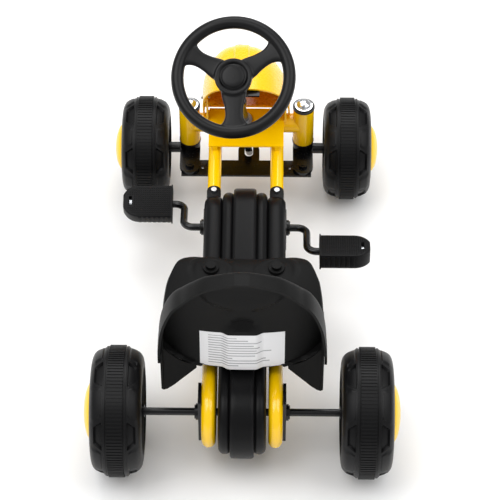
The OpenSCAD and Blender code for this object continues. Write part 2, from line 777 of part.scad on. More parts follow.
// All lobes as one solid, shrunk by t on every side
module cover_solid(t) {
    translate([0, rear_y, rear_z]) {
        slab(-rib_x + t, rib_x - t) lobe_outline(t);
        slab(-mid_x + t, mid_x - t) lobe_outline(lobe_step + t);
        for (s = [-1, 1]) on_side(s) intersection() {
            slab(mid_x - 2 * t - eps, lobe_x - t) lobe_outline(lobe_step + 6 + t);
            translate([0, lobe_back, crank_plate_top + 2 * seat_gap - rear_z]) cube([200, 600, 200]);
        }
    }
}

// The half space above the seam between the covers
module above_seam(gap) {
    translate([-200, rear_y, rear_z - cover_split + gap])
        rotate([atan2(crank_z - rear_z, crank_y), 0, 0]) translate([0, -200, 0])
        cube([400, 900, 300]);
}

module shaft_holes() {
    for (p = [[rear_y, rear_z], [cranks_y, crank_z]])
        rod_x(-200, 200, cover_hole_r, p[0], p[1]);
}

module upper_cover() {
    color("dimgray") difference() {
        union() {
            intersection() {
                difference() {
                    cover_solid(0);
                    cover_solid(cover_wall);
                }
                above_seam(seat_gap);
            }
            for (s = [-1, 1]) translate([s * rail_x, lug_y, rail_z + rail_r + seat_gap]) {
                cylinder(r = lug_r, h = lug_t);
                translate([-lug_r, -24, 0]) cube([2 * lug_r, 24, lug_t]);
            }
        }
        shaft_holes();
        for (s = [-1, 1]) {
            for (foot = seat_feet) translate([s * rail_x, rear_y + foot[0], rail_z])
                cylinder(r = seat_foot_r + body_gap, h = 60);
            translate([s * rail_x, 0, 0]) rail_clear();
            translate([s * rail_x, lug_y, rail_z])
                cylinder(d = cover_bolt_d + 2 * run, h = 40);
        }
    }
}

// Room for a rail's upper run
module rail_clear() {
    translate([0, rear_y - 60, rail_z]) rotate([-90, 0, 0])
        cylinder(r = rail_r + seat_gap / 2, h = wheelbase);
}

module lower_cover() {
    color("dimgray") difference() {
        cover_solid(0);
        cover_solid(cover_wall);
        above_seam(0);
        rod_x(-200, 200, cross_d / 2 + clear, cross_y, cross_z);
    }
}

module cover_bolts() {
    z0 = rail_z + rail_r + 2 * seat_gap + lug_t;
    color("silver") for (s = [-1, 1]) translate([s * rail_x, lug_y, 0]) {
        translate([0, 0, z0]) cylinder(d = 9, h = 4);
        translate([0, 0, rail_z + 4]) cylinder(d = cover_bolt_d, h = z0 - rail_z - 4 + eps);
    }
}

// Bent crank rod: shaft, two arms and two pedal spindles
module crank_side(side, angle) {
    on_side(side) rotate([angle, 0, 0]) {
        rod_x(0, rod_x, axle_r);
        translate([rod_x, rod_bend, 0]) rotate([0, 0, -90])
            rotate_extrude(angle = 90) translate([rod_bend, 0]) circle(r = axle_r);
        translate([arm_x, rod_bend, 0]) rotate([-90, 0, 0])
            cylinder(r = axle_r, h = crank_r - 2 * rod_bend);
        translate([spindle_x, crank_r - rod_bend, 0]) rotate([0, 0, 90])
            rotate_extrude(angle = 90) translate([rod_bend, 0]) circle(r = axle_r);
        rod_x(spindle_x, pedal_x + pedal_w - 8, axle_r, crank_r, 0);
    }
}
module crank() {
    color("black") translate([0, cranks_y, crank_z]) {
        crank_side(-1, crank_angle);
        crank_side(1, 180 + crank_angle);
    }
}

// Puts its children at a pedal, outwards along +X, turned by the pedal's pitch
module at_pedal(side) {
    angle = side < 0 ? crank_angle : 180 + crank_angle;
    pitch = side < 0 ? left_pedal_pitch : right_pedal_pitch;
    on_side(side) translate([pedal_x, cranks_y + crank_r * cos(angle), crank_z + crank_r * sin(angle)])
        rotate([pitch, 0, 0]) children();
}

// Top outline of a pedal: straight inner end and a D-shaped outer end
module pedal_outline(inset) {
    r = pedal_l / 2 - inset;
    intersection() {
        union() {
            translate([inset, -r]) square([pedal_w - pedal_l / 2 + 6 - inset, 2 * r]);
            translate([pedal_w - pedal_l / 2, 0]) circle(r = r);
        }
        translate([inset, -r]) square([pedal_w - 2 * inset - 2, 2 * r]);
    }
}

// Moulded pedal: top and bottom treads joined by a sleeve on the spindle and cross walls
module pedal(side) {
    wall = 3.5;
    color("black") at_pedal(side) difference() {
        translate([0, 0, -pedal_h / 2]) linear_extrude(pedal_h) pedal_outline(0);
        for (e = [-1, 1]) translate([pedal_in, e > 0 ? axle_r + wall : -pedal_l / 2 + wall, -pedal_h])
            cube([pedal_w - pedal_in - 26, pedal_l / 2 - axle_r - 2 * wall, 2 * pedal_h]);
        translate([pedal_w - 20, -pedal_l / 4, -pedal_h]) cube([9, pedal_l / 2, 2 * pedal_h]);
        rod_x(-1, pedal_w + 1, pedal_bore);
    }
}
module left_pedal() pedal(-1);
module right_pedal() pedal(1);

// Push-on caps that keep the pedals on their spindles
module pedal_caps() {
    color("silver") for (s = [-1, 1]) at_pedal(s) difference() {
        rod_x(pedal_w - 19, pedal_w - 12, axle_r + 3);
        rod_x(pedal_w - 20, pedal_w - 8, axle_r + run);
    }
}

// ---------------------------------------------------------------- seat and fairing

// Stations of the seat from its front edge over the pan and up the back:
// [distance ahead of the axle, height, half width as a share, curl of the sides]
seat_stations = [
    [seat_front_y, seat_pan_z + 2, 0.42, 3],
    [seat_front_y - 10, seat_pan_z + 9, 0.62, 6],
    [seat_front_y - 30, seat_pan_z + 13, 0.78, 14],
    [seat_front_y - 55, seat_pan_z + 9, 0.88, 22],
    [seat_front_y - 81, seat_pan_z + 5, 0.95, 28],
    [seat_front_y - 120, seat_pan_z, 1, 34],
    [seat_back_y + 39, seat_pan_z, 1, 38],
    [seat_back_y + 17, seat_pan_z + 22, 1, 32],
    [seat_back_y + 9, seat_pan_z + 70, 0.985, 22],
    [seat_back_y + 5, seat_top_z - 100, 0.935, 14],
    [seat_back_y + 3, seat_top_z - 65, 0.83, 9],
    [seat_back_y + 2, seat_top_z - 43, 0.69, 6],
    [seat_back_y + 1, seat_top_z - 28, 0.575, 4],
    [seat_back_y, seat_top_z - 14, 0.43, 3],
    [seat_back_y, seat_top_z - 5, 0.235, 1],
    [seat_back_y, seat_top_z, 0.08, 0]];
seat_rim_from = 7;

// Direction from the seat's surface towards the rider at station i
function seat_normal(i) =
    let (n = len(seat_stations) - 1,
         a = seat_stations[max(i - 1, 0)],
         b = seat_stations[min(i + 1, n)],
         d = [b[0] - a[0], b[1] - a[1]])
    [d[1], -d[0]] / norm(d);

function seat_grid(offset) = [for (i = [0:len(seat_stations) - 1])
    let (s = seat_stations[i], n = seat_normal(i))
    [for (j = [-8:8]) let (u = j / 8, c = s[3] * pow(abs(u), 2.5) + offset)
        [u * s[2] * seat_w / 2, rear_y + s[0] + n[0] * c, s[1] + n[1] * c]]];

// Edge of the back, from its foot on the left over the top to its foot on the right
seat_edge = let (g = seat_grid(0), n = len(seat_stations) - 1)
    concat([for (i = [seat_rim_from:n]) g[i][0]], [for (i = [n:-1:seat_rim_from]) g[i][16]]);

// The edge moved inwards by t, at distance y ahead of the axle where y is given
function seat_edge_row(k, t, y) =
    let (n = len(seat_edge) - 1, p = seat_edge[k],
         a = seat_edge[max(k - 1, 0)], b = seat_edge[min(k + 1, n)],
         d = [b[0] - a[0], b[2] - a[2]] / norm([b[0] - a[0], b[2] - a[2]]))
    [p[0] + d[1] * t, y, p[2] - d[0] * t];

// Rim that runs round the back and stands out behind it
module seat_rim() {
    function strip(t) = [for (k = [0:len(seat_edge) - 1])
        [seat_edge_row(k, t, seat_edge[k][1] + seat_wall / 2),
         seat_edge_row(k, t, rear_y + seat_rim_y)]];
    grid_shell(strip(0), strip(seat_wall));
}

// Side skirts that hang below the back
module seat_skirts() {
    for (s = [-1, 1]) on_side(s)
        translate([seat_w / 2 - seat_wall, rear_y + seat_rim_y, 0])
        rotate([90, 0, 90]) linear_extrude(seat_wall)
        polygon([[0, 150], [14, 150], [96, 226], [96, 238], [60, 262], [0, 220]]);
}

module seat() {
    foot_z = rail_z + rail_r + seat_gap;
    color("dimgray") difference() {
        union() {
            grid_shell(seat_grid(0), seat_grid(seat_wall));
            seat_rim();
            seat_skirts();
            for (s = [-1, 1]) for (foot = seat_feet)
                translate([s * seat_foot_x, rear_y + foot[0], foot_z])
                    cylinder(r = seat_foot_r, h = seat_pan_z + foot[1] - foot_z);
        }
        for (s = [-1, 1]) for (foot = seat_feet)
            translate([s * seat_foot_x, rear_y + foot[0], 0])
                cylinder(d = seat_bolt_d + 2 * run, h = 300);
    }
}

// Bolts through the seat and the rails, each with its nut
module seat_bolts() {
    z0 = rail_z - rail_r - 10;
    color("black") for (s = [-1, 1]) for (foot = seat_feet)
        translate([s * seat_foot_x, rear_y + foot[0], 0]) {
            z1 = seat_pan_z + foot[1] + seat_gap;
            translate([0, 0, z1]) cylinder(d = seat_bolt_head_d, h = 7);
            translate([0, 0, z0]) cylinder(d = seat_bolt_d, h = z1 - z0 + eps);
            translate([0, 0, z0 + 3]) difference() {
                cylinder(d = 11, h = 6, $fn = 6);
                translate([0, 0, -1]) cylinder(d = seat_bolt_d + 2 * run, h = 8);
            }
        }
}

// Stations of the fairing from its open back to its nose:
// [crown's distance ahead of the front beam, half width, height of the crown,
//  height of the foot, how much of the back edge's lean the sides follow]
fairing_foot_z = plate_z + plate_sheet + seat_gap;
fairing_lean = 70;
fairing_stations = [
    [-70, fairing_w / 2, fairing_top_z, fairing_foot_z, 1],
    [-30, fairing_w / 2, fairing_top_z - 2, fairing_foot_z - 4, 0.72],
    [10, fairing_w / 2, fairing_top_z - 11, fairing_foot_z - 16, 0.42],
    [50, fairing_w / 2 - 11, fairing_top_z - 26, fairing_foot_z - 28, 0.18],
    [85, fairing_w / 2 - 23, fairing_top_z - 59, fairing_foot_z - 36, 0],
    [112, fairing_w / 2 - 36, fairing_top_z - 99, fairing_foot_z - 40, 0],
    [nose_y - front_y, fairing_w / 2 - 51, fairing_top_z - 145, fairing_foot_z - 40, 0],
    [nose_y - front_y, fairing_wall + 1, fairing_foot_z - 34, fairing_foot_z - 40, 0]];

// Arch-shaped rows of points, drawn inwards by t
function fairing_grid(t) = [for (i = [0:len(fairing_stations) - 1])
    let (s = fairing_stations[i], nose = s[0] > nose_y - front_y - 1)
    [for (j = [-10:10]) let (a = 90 * j / 10, w = s[1] - t, h = s[2] - s[3] - t,
                             rise = pow(cos(a), 0.7))
        [sign(a) * w * pow(abs(sin(a)), 0.7),
         front_y + s[0] + s[4] * fairing_lean * (1 - rise) - (nose ? t : 0),
         s[3] + h * rise]]];

module fairing() {
    color("gold") difference() {
        grid_shell(fairing_grid(fairing_wall), fairing_grid(0));
        rod_x(-fairing_w, fairing_w, fairing_screw_d / 2 + run, fairing_screw_y, fairing_screw_z);
        for (s = [-1, 1]) translate([s * fairing_w / 2, front_y + 30, fairing_foot_z + 2])
            rotate([0, 90, 0]) cylinder(r = 10.5, h = 40, center = true);
    }
}

// Screws through the fairing's sides into the front plate's tabs
module fairing_screws() {
    x0 = fairing_w / 2 - fairing_wall - plate_sheet - 6;
    x1 = fairing_w / 2 + seat_gap;
    color("silver") for (s = [-1, 1]) on_side(s) {
        rod_x(x0, x1 + eps, fairing_screw_d / 2, fairing_screw_y, fairing_screw_z);
        rod_x(x1, x1 + 2.5, fairing_screw_d, fairing_screw_y, fairing_screw_z);
    }
}

left_rail();
right_rail();
rail_plugs();
front_beam();
left_kingpin_tube();
right_kingpin_tube();
front_plate();
cross_tube();
crank_plates();
axle_plates();
kingpin_bushes();
column_bush();
column_bracket();
shaft_bushes();
chain();
upper_cover();
lower_cover();
cover_bolts();
seat();
seat_bolts();
fairing();
fairing_screws();
steering_column();
steering_wheel();
steering_cap();
steering_collar();
left_knuckle();
left_kingpin();
left_kingpin_nut();
left_wheel_nut();
left_tie_bolt();
right_knuckle();
right_kingpin();
right_kingpin_nut();
right_wheel_nut();
right_tie_bolt();
tie_bar();
front_left_tyre();
front_left_cap();
front_left_bush();
front_right_tyre();
front_right_cap();
front_right_bush();
rear_left_tyre();
rear_left_cap();
rear_right_tyre();
rear_right_cap();
rear_right_bush();
rear_axle();
rear_sprocket();
axle_collars();
axle_nuts();
drive_pin();
crank();
crank_sprocket();
pedal_caps();
left_pedal();
right_pedal();
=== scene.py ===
import math

import bmesh
import bpy
from mathutils import Matrix, Vector


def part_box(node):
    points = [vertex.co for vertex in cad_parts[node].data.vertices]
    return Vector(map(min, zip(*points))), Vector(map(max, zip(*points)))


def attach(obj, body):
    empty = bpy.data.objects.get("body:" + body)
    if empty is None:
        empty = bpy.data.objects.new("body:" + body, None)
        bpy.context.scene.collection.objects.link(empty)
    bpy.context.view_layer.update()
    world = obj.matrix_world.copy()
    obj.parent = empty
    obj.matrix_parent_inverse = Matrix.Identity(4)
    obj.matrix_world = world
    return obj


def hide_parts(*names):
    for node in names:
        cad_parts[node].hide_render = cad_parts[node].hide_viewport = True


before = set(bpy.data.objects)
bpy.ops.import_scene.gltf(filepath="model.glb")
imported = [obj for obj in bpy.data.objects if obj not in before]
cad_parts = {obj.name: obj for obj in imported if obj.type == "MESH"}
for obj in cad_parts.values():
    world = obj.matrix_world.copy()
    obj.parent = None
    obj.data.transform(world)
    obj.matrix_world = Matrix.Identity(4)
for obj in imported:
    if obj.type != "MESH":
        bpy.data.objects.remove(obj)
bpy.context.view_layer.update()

MM = 0.001


def middle(node):
    """Centre of a CAD node's box, in millimetres."""
    low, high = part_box(node)
    return (low + high) / 2 / MM


REAR_Y, REAR_Z = middle("rear_axle").y, middle("rear_axle").z
FRONT_Y, BEAM_Z = middle("front_beam").y, middle("front_beam").z
RAIL_X = middle("right_rail").x


# ---------------------------------------------------------------- modelling

def deselect():
    if bpy.context.object and bpy.context.object.mode != "OBJECT":
        bpy.ops.object.mode_set(mode="OBJECT")
    bpy.ops.object.select_all(action="DESELECT")


def begin(name, add, **settings):
    """Adds a primitive, sizes in metres, and opens it for editing."""
    deselect()
    add(**settings)
    obj = bpy.context.object
    obj.name = obj.data.name = name
    bpy.ops.object.mode_set(mode="EDIT")
    bpy.ops.mesh.select_mode(type="VERT")
    return obj


def pick(obj, kind, test):
    """Selects the vertices, edges or faces that pass the test."""
    mode = {"verts": "VERT", "edges": "EDGE", "faces": "FACE"}[kind]
    bpy.ops.mesh.select_mode(type=mode)
    bpy.ops.mesh.select_all(action="DESELECT")
    mesh = bmesh.from_edit_mesh(obj.data)
    for part in getattr(mesh, kind):
        if test(part):
            part.select_set(True)
    mesh.select_flush_mode()
    bmesh.update_edit_mesh(obj.data)


def tidy(obj, inside=False):
    """Merges doubles, turns the normals outwards and closes the edit."""
    if bpy.context.object is not obj or obj.mode != "EDIT":
        activate(obj)
        bpy.ops.object.mode_set(mode="EDIT")
    bpy.ops.mesh.select_mode(type="VERT")
    bpy.ops.mesh.select_all(action="SELECT")
    bpy.ops.mesh.remove_doubles(threshold=0.00001)
    bpy.ops.mesh.normals_make_consistent(inside=inside)
    bpy.ops.object.mode_set(mode="OBJECT")


def activate(obj):
    deselect()
    obj.select_set(True)
    bpy.context.view_layer.objects.active = obj


def finish_with(obj, kind, **settings):
    """Adds a modifier and applies it."""
    activate(obj)
    modifier = obj.modifiers.new(kind.title(), kind)
    for key, value in settings.items():
        setattr(modifier, key, value)
    bpy.ops.object.modifier_apply(modifier=modifier.name)


def place(obj, matrix=None):
    """Moves the object's place into its mesh."""
    activate(obj)
    if matrix is not None:
        obj.data.transform(matrix)
    bpy.ops.object.transform_apply(location=True, rotation=True, scale=True)


def smooth(obj, degrees=35):
    activate(obj)
    bpy.ops.object.shade_smooth_by_angle(angle=math.radians(degrees))


def join(name, parts):
    deselect()
    for part in parts:
        part.select_set(True)
    bpy.context.view_layer.objects.active = parts[0]
    bpy.ops.object.join()
    obj = bpy.context.object
    obj.name = obj.data.name = name
    return obj


def copy(obj, name, matrix=None):
    """A copy with its own mesh, turned by the matrix; a mirrored one is turned right side out."""
    new = obj.copy()
    new.data = obj.data.copy()
    new.name = new.data.name = name
    bpy.context.scene.collection.objects.link(new)
    if matrix is not None:
        new.data.transform(matrix)
        if matrix.determinant() < 0:
            new.data.flip_normals()
    return new


def from_grid(name, rows, close_rows=False, close_cols=False):
    """A sheet through rows of points in millimetres."""
    mesh = bpy.data.meshes.new(name)
    count, width = len(rows), len(rows[0])
    faces = []
    for i in range(count if close_rows else count - 1):
        for j in range(width if close_cols else width - 1):
            a, b = i * width + j, i * width + (j + 1) % width
            c, d = (i + 1) % count * width + (j + 1) % width, (i + 1) % count * width + j
            faces.append((a, b, c, d))
    mesh.from_pydata([[c * MM for c in p] for row in rows for p in row], [], faces)
    obj = bpy.data.objects.new(name, mesh)
    bpy.context.scene.collection.objects.link(obj)
    return obj


def turned(name, profile, steps, closed=True):
    """Spins a profile (distance along X, radius), in millimetres, about the X axis."""
    obj = begin(name, bpy.ops.mesh.primitive_plane_add, size=MM,
                location=(0, 0, 0))
    bpy.ops.mesh.merge(type="CENTER")
    at = (0, 0)
    for k, (x, r) in enumerate(profile):
        step = ((x - at[0]) * MM, 0, (r - at[1]) * MM)
        if k == 0:
            bpy.ops.transform.translate(value=step)
        else:
            bpy.ops.mesh.extrude_vertices_move(TRANSFORM_OT_translate={"value": step})
        at = (x, r)
    if closed:
        ends = [Vector((x, 0, r)) * MM for x, r in (profile[0], profile[-1])]
        pick(obj, "verts", lambda v: any((v.co - e).length < 1e-6 for e in ends))
        bpy.ops.mesh.edge_face_add()
    bpy.ops.mesh.select_all(action="SELECT")
    bpy.ops.mesh.spin(steps=steps, angle=2 * math.pi, center=(0, 0, 0), axis=(1, 0, 0),
                      use_auto_merge=True)
    return obj


def cut_with(obj, cutter):
    finish_with(obj, "BOOLEAN", operation="DIFFERENCE", object=cutter, solver="EXACT")
    bpy.data.objects.remove(cutter)


def rod(name, radius, x0, x1, y, z, sides=48):
    """A plain bar along X, for cutting holes."""
    deselect()
    bpy.ops.mesh.primitive_cylinder_add(
        vertices=sides, radius=radius * MM, depth=(x1 - x0) * MM,
        location=((x0 + x1) / 2 * MM, y * MM, z * MM), rotation=(0, math.pi / 2, 0))
    bpy.context.object.name = name
    place(bpy.context.object)
    return bpy.context.object


def curve_through(stations, count):
    """Smooth values through a list of stations, evenly spaced between them."""
    out = []
    last = len(stations) - 1
    for k in range(count + 1):
        t = k / count * last
        i = min(int(t), last - 1)
        f = t - i
        p = [stations[min(max(i + d, 0), last)] for d in (-1, 0, 1, 2)]
        out.append([
            0.5 * (2 * b + (c - a) * f + (2 * a - 5 * b + 4 * c - d) * f * f
                   + (3 * b - a - 3 * c + d) * f ** 3)
            for a, b, c, d in zip(*p)])
    return out


def between(value, low, high):
    """0 below low, 1 above high, smooth in between."""
    t = min(max((value - low) / (high - low), 0), 1)
    return t * t * (3 - 2 * t)


# ---------------------------------------------------------------- materials

def linear(code):
    """An sRGB hex colour as linear light."""
    out = []
    for k in (1, 3, 5):
        c = int(code[k:k + 2], 16) / 255
        out.append(c / 12.92 if c <= 0.04045 else ((c + 0.055) / 1.055) ** 2.4)
    return (*out, 1.0)


def add(mat, kind, inputs=None, **settings):
    """Adds a node; an input is a value or another node's output."""
    tree = mat.node_tree
    new = tree.nodes.new(kind)
    for key, value in settings.items():
        setattr(new, key, value)
    for key, value in (inputs or {}).items():
        if isinstance(value, bpy.types.NodeSocket):
            tree.links.new(value, new.inputs[key])
        else:
            new.inputs[key].default_value = value
    return new


def blank(name, **sockets):
    """A material with its shader's plain values set."""
    mat = bpy.data.materials.new(name)
    mat.use_nodes = True
    shader = mat.node_tree.nodes["Principled BSDF"]
    for key, value in sockets.items():
        shader.inputs[key.replace("_", " ")].default_value = value
    return mat, shader, mat.node_tree.links


def surface(name, light, dark, grain, depth, rough, patch=60, **sockets):
    """A finish whose colour drifts from light to dark in patches (mm), with a grain
    (mm across, mm deep) and a roughness that varies between two values."""
    mat, shader, links = blank(name, **sockets)
    where = add(mat, "ShaderNodeTexCoord").outputs["Object"]
    drift = add(mat, "ShaderNodeTexNoise",
                {"Vector": where, "Scale": 1 / (patch * MM), "Detail": 3.0})
    mix = add(mat, "ShaderNodeMix", {
        "Factor": drift.outputs["Fac"], 6: linear(light), 7: linear(dark)}, data_type="RGBA")
    links.new(mix.outputs[2], shader.inputs["Base Color"])
    fine = add(mat, "ShaderNodeTexNoise",
               {"Vector": where, "Scale": 1 / (grain * MM), "Detail": 2.0})
    spread = add(mat, "ShaderNodeMapRange", {
        "Value": fine.outputs["Fac"], "From Min": 0.3, "From Max": 0.7,
        "To Min": rough[0], "To Max": rough[1]})
    links.new(spread.outputs["Result"], shader.inputs["Roughness"])
    bump = add(mat, "ShaderNodeBump", {
        "Height": fine.outputs["Fac"], "Distance": depth * MM, "Strength": 1.0})
    links.new(bump.outputs["Normal"], shader.inputs["Normal"])
    return mat


# Powder-coated steel, baked: a thick gloss film with a fine orange peel
YELLOW_COAT = surface("yellow_powder_coat", "#FFCE00", "#FFC800", 2.2, 0.004, (0.2, 0.26),
                      IOR=1.5, Coat_Weight=0.3, Coat_Roughness=0.1)
# Polypropylene moulded in a polished tool: clear bright colour, smooth gloss
YELLOW_MOULDING = surface("yellow_gloss_polypropylene", "#FFC40A", "#FCBE07", 5, 0.006,
                          (0.24, 0.32), IOR=1.49)
# Blow-moulded polyethylene, as the hub caps: a little softer and greener yellow
CAP_MOULDING = surface("yellow_polyethylene", "#FFD012", "#FACA0E", 4, 0.008,
                       (0.28, 0.36), IOR=1.51)
# Blow-moulded high-density polyethylene: satin black with faint flow marks
TYRE_PLASTIC = surface("black_blow_moulded_polyethylene", "#111112", "#0C0C0D", 1.6, 0.03,
                       (0.34, 0.46), IOR=1.51, Specular_IOR_Level=0.16)
# Polypropylene moulded against a spark-eroded tool: matt black with a fine grain
SEAT_PLASTIC = surface("black_grained_polypropylene", "#131313", "#0F0F0F", 0.9, 0.03,
                       (0.46, 0.58), IOR=1.49, Specular_IOR_Level=0.12)
# The covers: the same plastic from a smoother tool
COVER_PLASTIC = surface("black_satin_polypropylene", "#101011", "#0B0B0C", 1.2, 0.02,
                        (0.34, 0.44), IOR=1.49, Specular_IOR_Level=0.14)
# Steering wheel: polypropylene from a polished tool, handled smooth
WHEEL_PLASTIC = surface("black_polished_polypropylene", "#131314", "#0F0F10", 1.5, 0.006,
                        (0.3, 0.38), IOR=1.49, Specular_IOR_Level=0.2)
# Pedals: matt moulded polypropylene
PEDAL_PLASTIC = surface("black_matt_polypropylene", "#0F0F10", "#0B0B0C", 0.8, 0.03,
                        (0.4, 0.52), IOR=1.49, Specular_IOR_Level=0.14)
# Stoved black enamel on steel rod and plate: even gloss, a little peel
BLACK_ENAMEL = surface("black_stoved_enamel", "#0B0B0C", "#080809", 2.5, 0.008,
                       (0.2, 0.28), IOR=1.5, Specular_IOR_Level=0.35)
# Decorative chrome plate on the domed nuts: mirror with a trace of haze
CHROME = surface("chrome_plate", "#D8DADC", "#CBCDD0", 1.0, 0.002, (0.06, 0.14),
                 Metallic=1.0)
# Bright zinc plate on bolts, washers and sprockets: grey, cloudy and a little dull
ZINC = surface("bright_zinc_plate", "#C2C5C8", "#A9ACB0", 0.8, 0.01, (0.24, 0.4), patch=9,
               Metallic=1.0)
# Turned natural nylon bushes: milky white
NYLON = surface("natural_nylon", "#E6E3D8", "#DCD8CC", 1.5, 0.01, (0.38, 0.48), IOR=1.53)
# Black acetal bushes and plugs
ACETAL = surface("black_acetal", "#0F0F10", "#0B0B0C", 1.5, 0.01, (0.3, 0.4), IOR=1.48,
                 Specular_IOR_Level=0.35)
# Glossy black print on a clear film
STRIPE = surface("black_film", "#101012", "#0C0C0E", 4, 0.004, (0.22, 0.3), IOR=1.5)
# White vinyl label with rows of plain grey bars
LABEL = surface("white_vinyl_label", "#F4F4F5", "#EDEDEF", 5, 0.01, (0.4, 0.5), IOR=1.5)


def print_bars(mat, count, colour):
    """Prints rows of bars with different lengths over the finish, by the UV map."""
    def math_node(kind, *values):
        return add(mat, "ShaderNodeMath", dict(enumerate(values)),
                   operation=kind).outputs[0]

    base = mat.node_tree.nodes["Principled BSDF"].inputs["Base Color"]
    plain = base.links[0].from_socket
    place_on = add(mat, "ShaderNodeUVMap", uv_map="print").outputs["UV"]
    across, up, _ = add(mat, "ShaderNodeSeparateXYZ", {0: place_on}).outputs
    row = math_node("MULTIPLY", up, count)
    ends = add(mat, "ShaderNodeTexWhiteNoise", {"W": math_node("FLOOR", row)},
               noise_dimensions="1D").outputs["Value"]
    reach = math_node("MULTIPLY_ADD", ends, 0.5, 0.38)
    bar = math_node("GREATER_THAN", math_node("FRACT", row), 0.62)
    for part in (math_node("LESS_THAN", across, reach),
                 math_node("GREATER_THAN", across, 0.1),
                 math_node("COMPARE", up, 0.5, 0.42)):
        bar = math_node("MULTIPLY", bar, part)
    mix = add(mat, "ShaderNodeMix", {"Factor": bar, 6: plain, 7: linear(colour)},
              data_type="RGBA")
    mat.node_tree.links.new(mix.outputs[2], base)


print_bars(LABEL, 14.0, "#A8A8AC")

FINISH = {
    YELLOW_COAT: ["left_rail", "right_rail", "front_beam", "left_kingpin_tube",
                  "right_kingpin_tube", "front_plate", "cross_tube"],
    ACETAL: ["rail_plugs", "kingpin_bushes", "column_bush", "shaft_bushes"],
    BLACK_ENAMEL: ["crank_plates", "axle_plates", "column_bracket", "steering_column",
                   "left_knuckle", "right_knuckle", "tie_bar", "rear_axle", "axle_collars",
                   "crank", "left_tie_bolt", "right_tie_bolt"],
    NYLON: ["front_left_bush", "front_right_bush", "rear_right_bush"],
    ZINC: ["chain", "cover_bolts", "fairing_screws", "steering_collar", "left_kingpin",
           "right_kingpin", "left_wheel_nut", "right_wheel_nut", "rear_sprocket",
           "axle_nuts", "drive_pin", "crank_sprocket", "pedal_caps"],
    CHROME: ["left_kingpin_nut", "right_kingpin_nut"],
    COVER_PLASTIC: ["upper_cover", "lower_cover"],
    SEAT_PLASTIC: ["seat", "seat_bolts"],
    YELLOW_MOULDING: ["fairing"],
    WHEEL_PLASTIC: ["steering_wheel", "steering_cap"],
    PEDAL_PLASTIC: ["left_pedal", "right_pedal"],
    TYRE_PLASTIC: ["front_left_tyre", "front_right_tyre", "rear_left_tyre",
                   "rear_right_tyre"],
    CAP_MOULDING: ["front_left_cap", "front_right_cap", "rear_left_cap", "rear_right_cap"],
}
for finish, nodes in FINISH.items():
    for name in nodes:
        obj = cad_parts[name]
        obj.data.materials.clear()
        obj.data.materials.append(finish)


def hand_over(obj, body, finish, slot, *nodes):
    """Gives a finished piece its material, its body and the CAD nodes it stands for."""
    obj.data.materials.clear()
    obj.data.materials.append(finish)
    deselect()
    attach(obj, body)
    if nodes:
        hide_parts(*nodes)
    return obj


# ---------------------------------------------------------------- wheels

TYRE_W = 80
BAND = 12.25          # half width of the ribbed band
SECTORS = 6           # pockets round each shoulder
POCKET_COLUMNS = 8    # columns of faces from a pocket's middle to its edge
POCKET_DEEP = 5
PANEL_PROUD = 1.4


def shoulder(radius):
    """Half profile from the band to the side: distance from the middle, radius."""
    drops = [(BAND, 1.0), (BAND + 0.1, 3.0), (14.2, 3.0), (14.5, 1.8), (17.0, 2.0),
             (17.3, 3.6), (19.0, 4.0), (19.9, 4.3), (22, 5.0), (25, 6.2), (28, 7.6),
             (31, 9.4), (32.2, 10.2), (34.2, 12.0), (36.4, 14.6), (38.2, 18.2),
             (39.4, 23), (40, 29), (40, 33.5)]
    return [(a, radius - d) for a, d in drops]


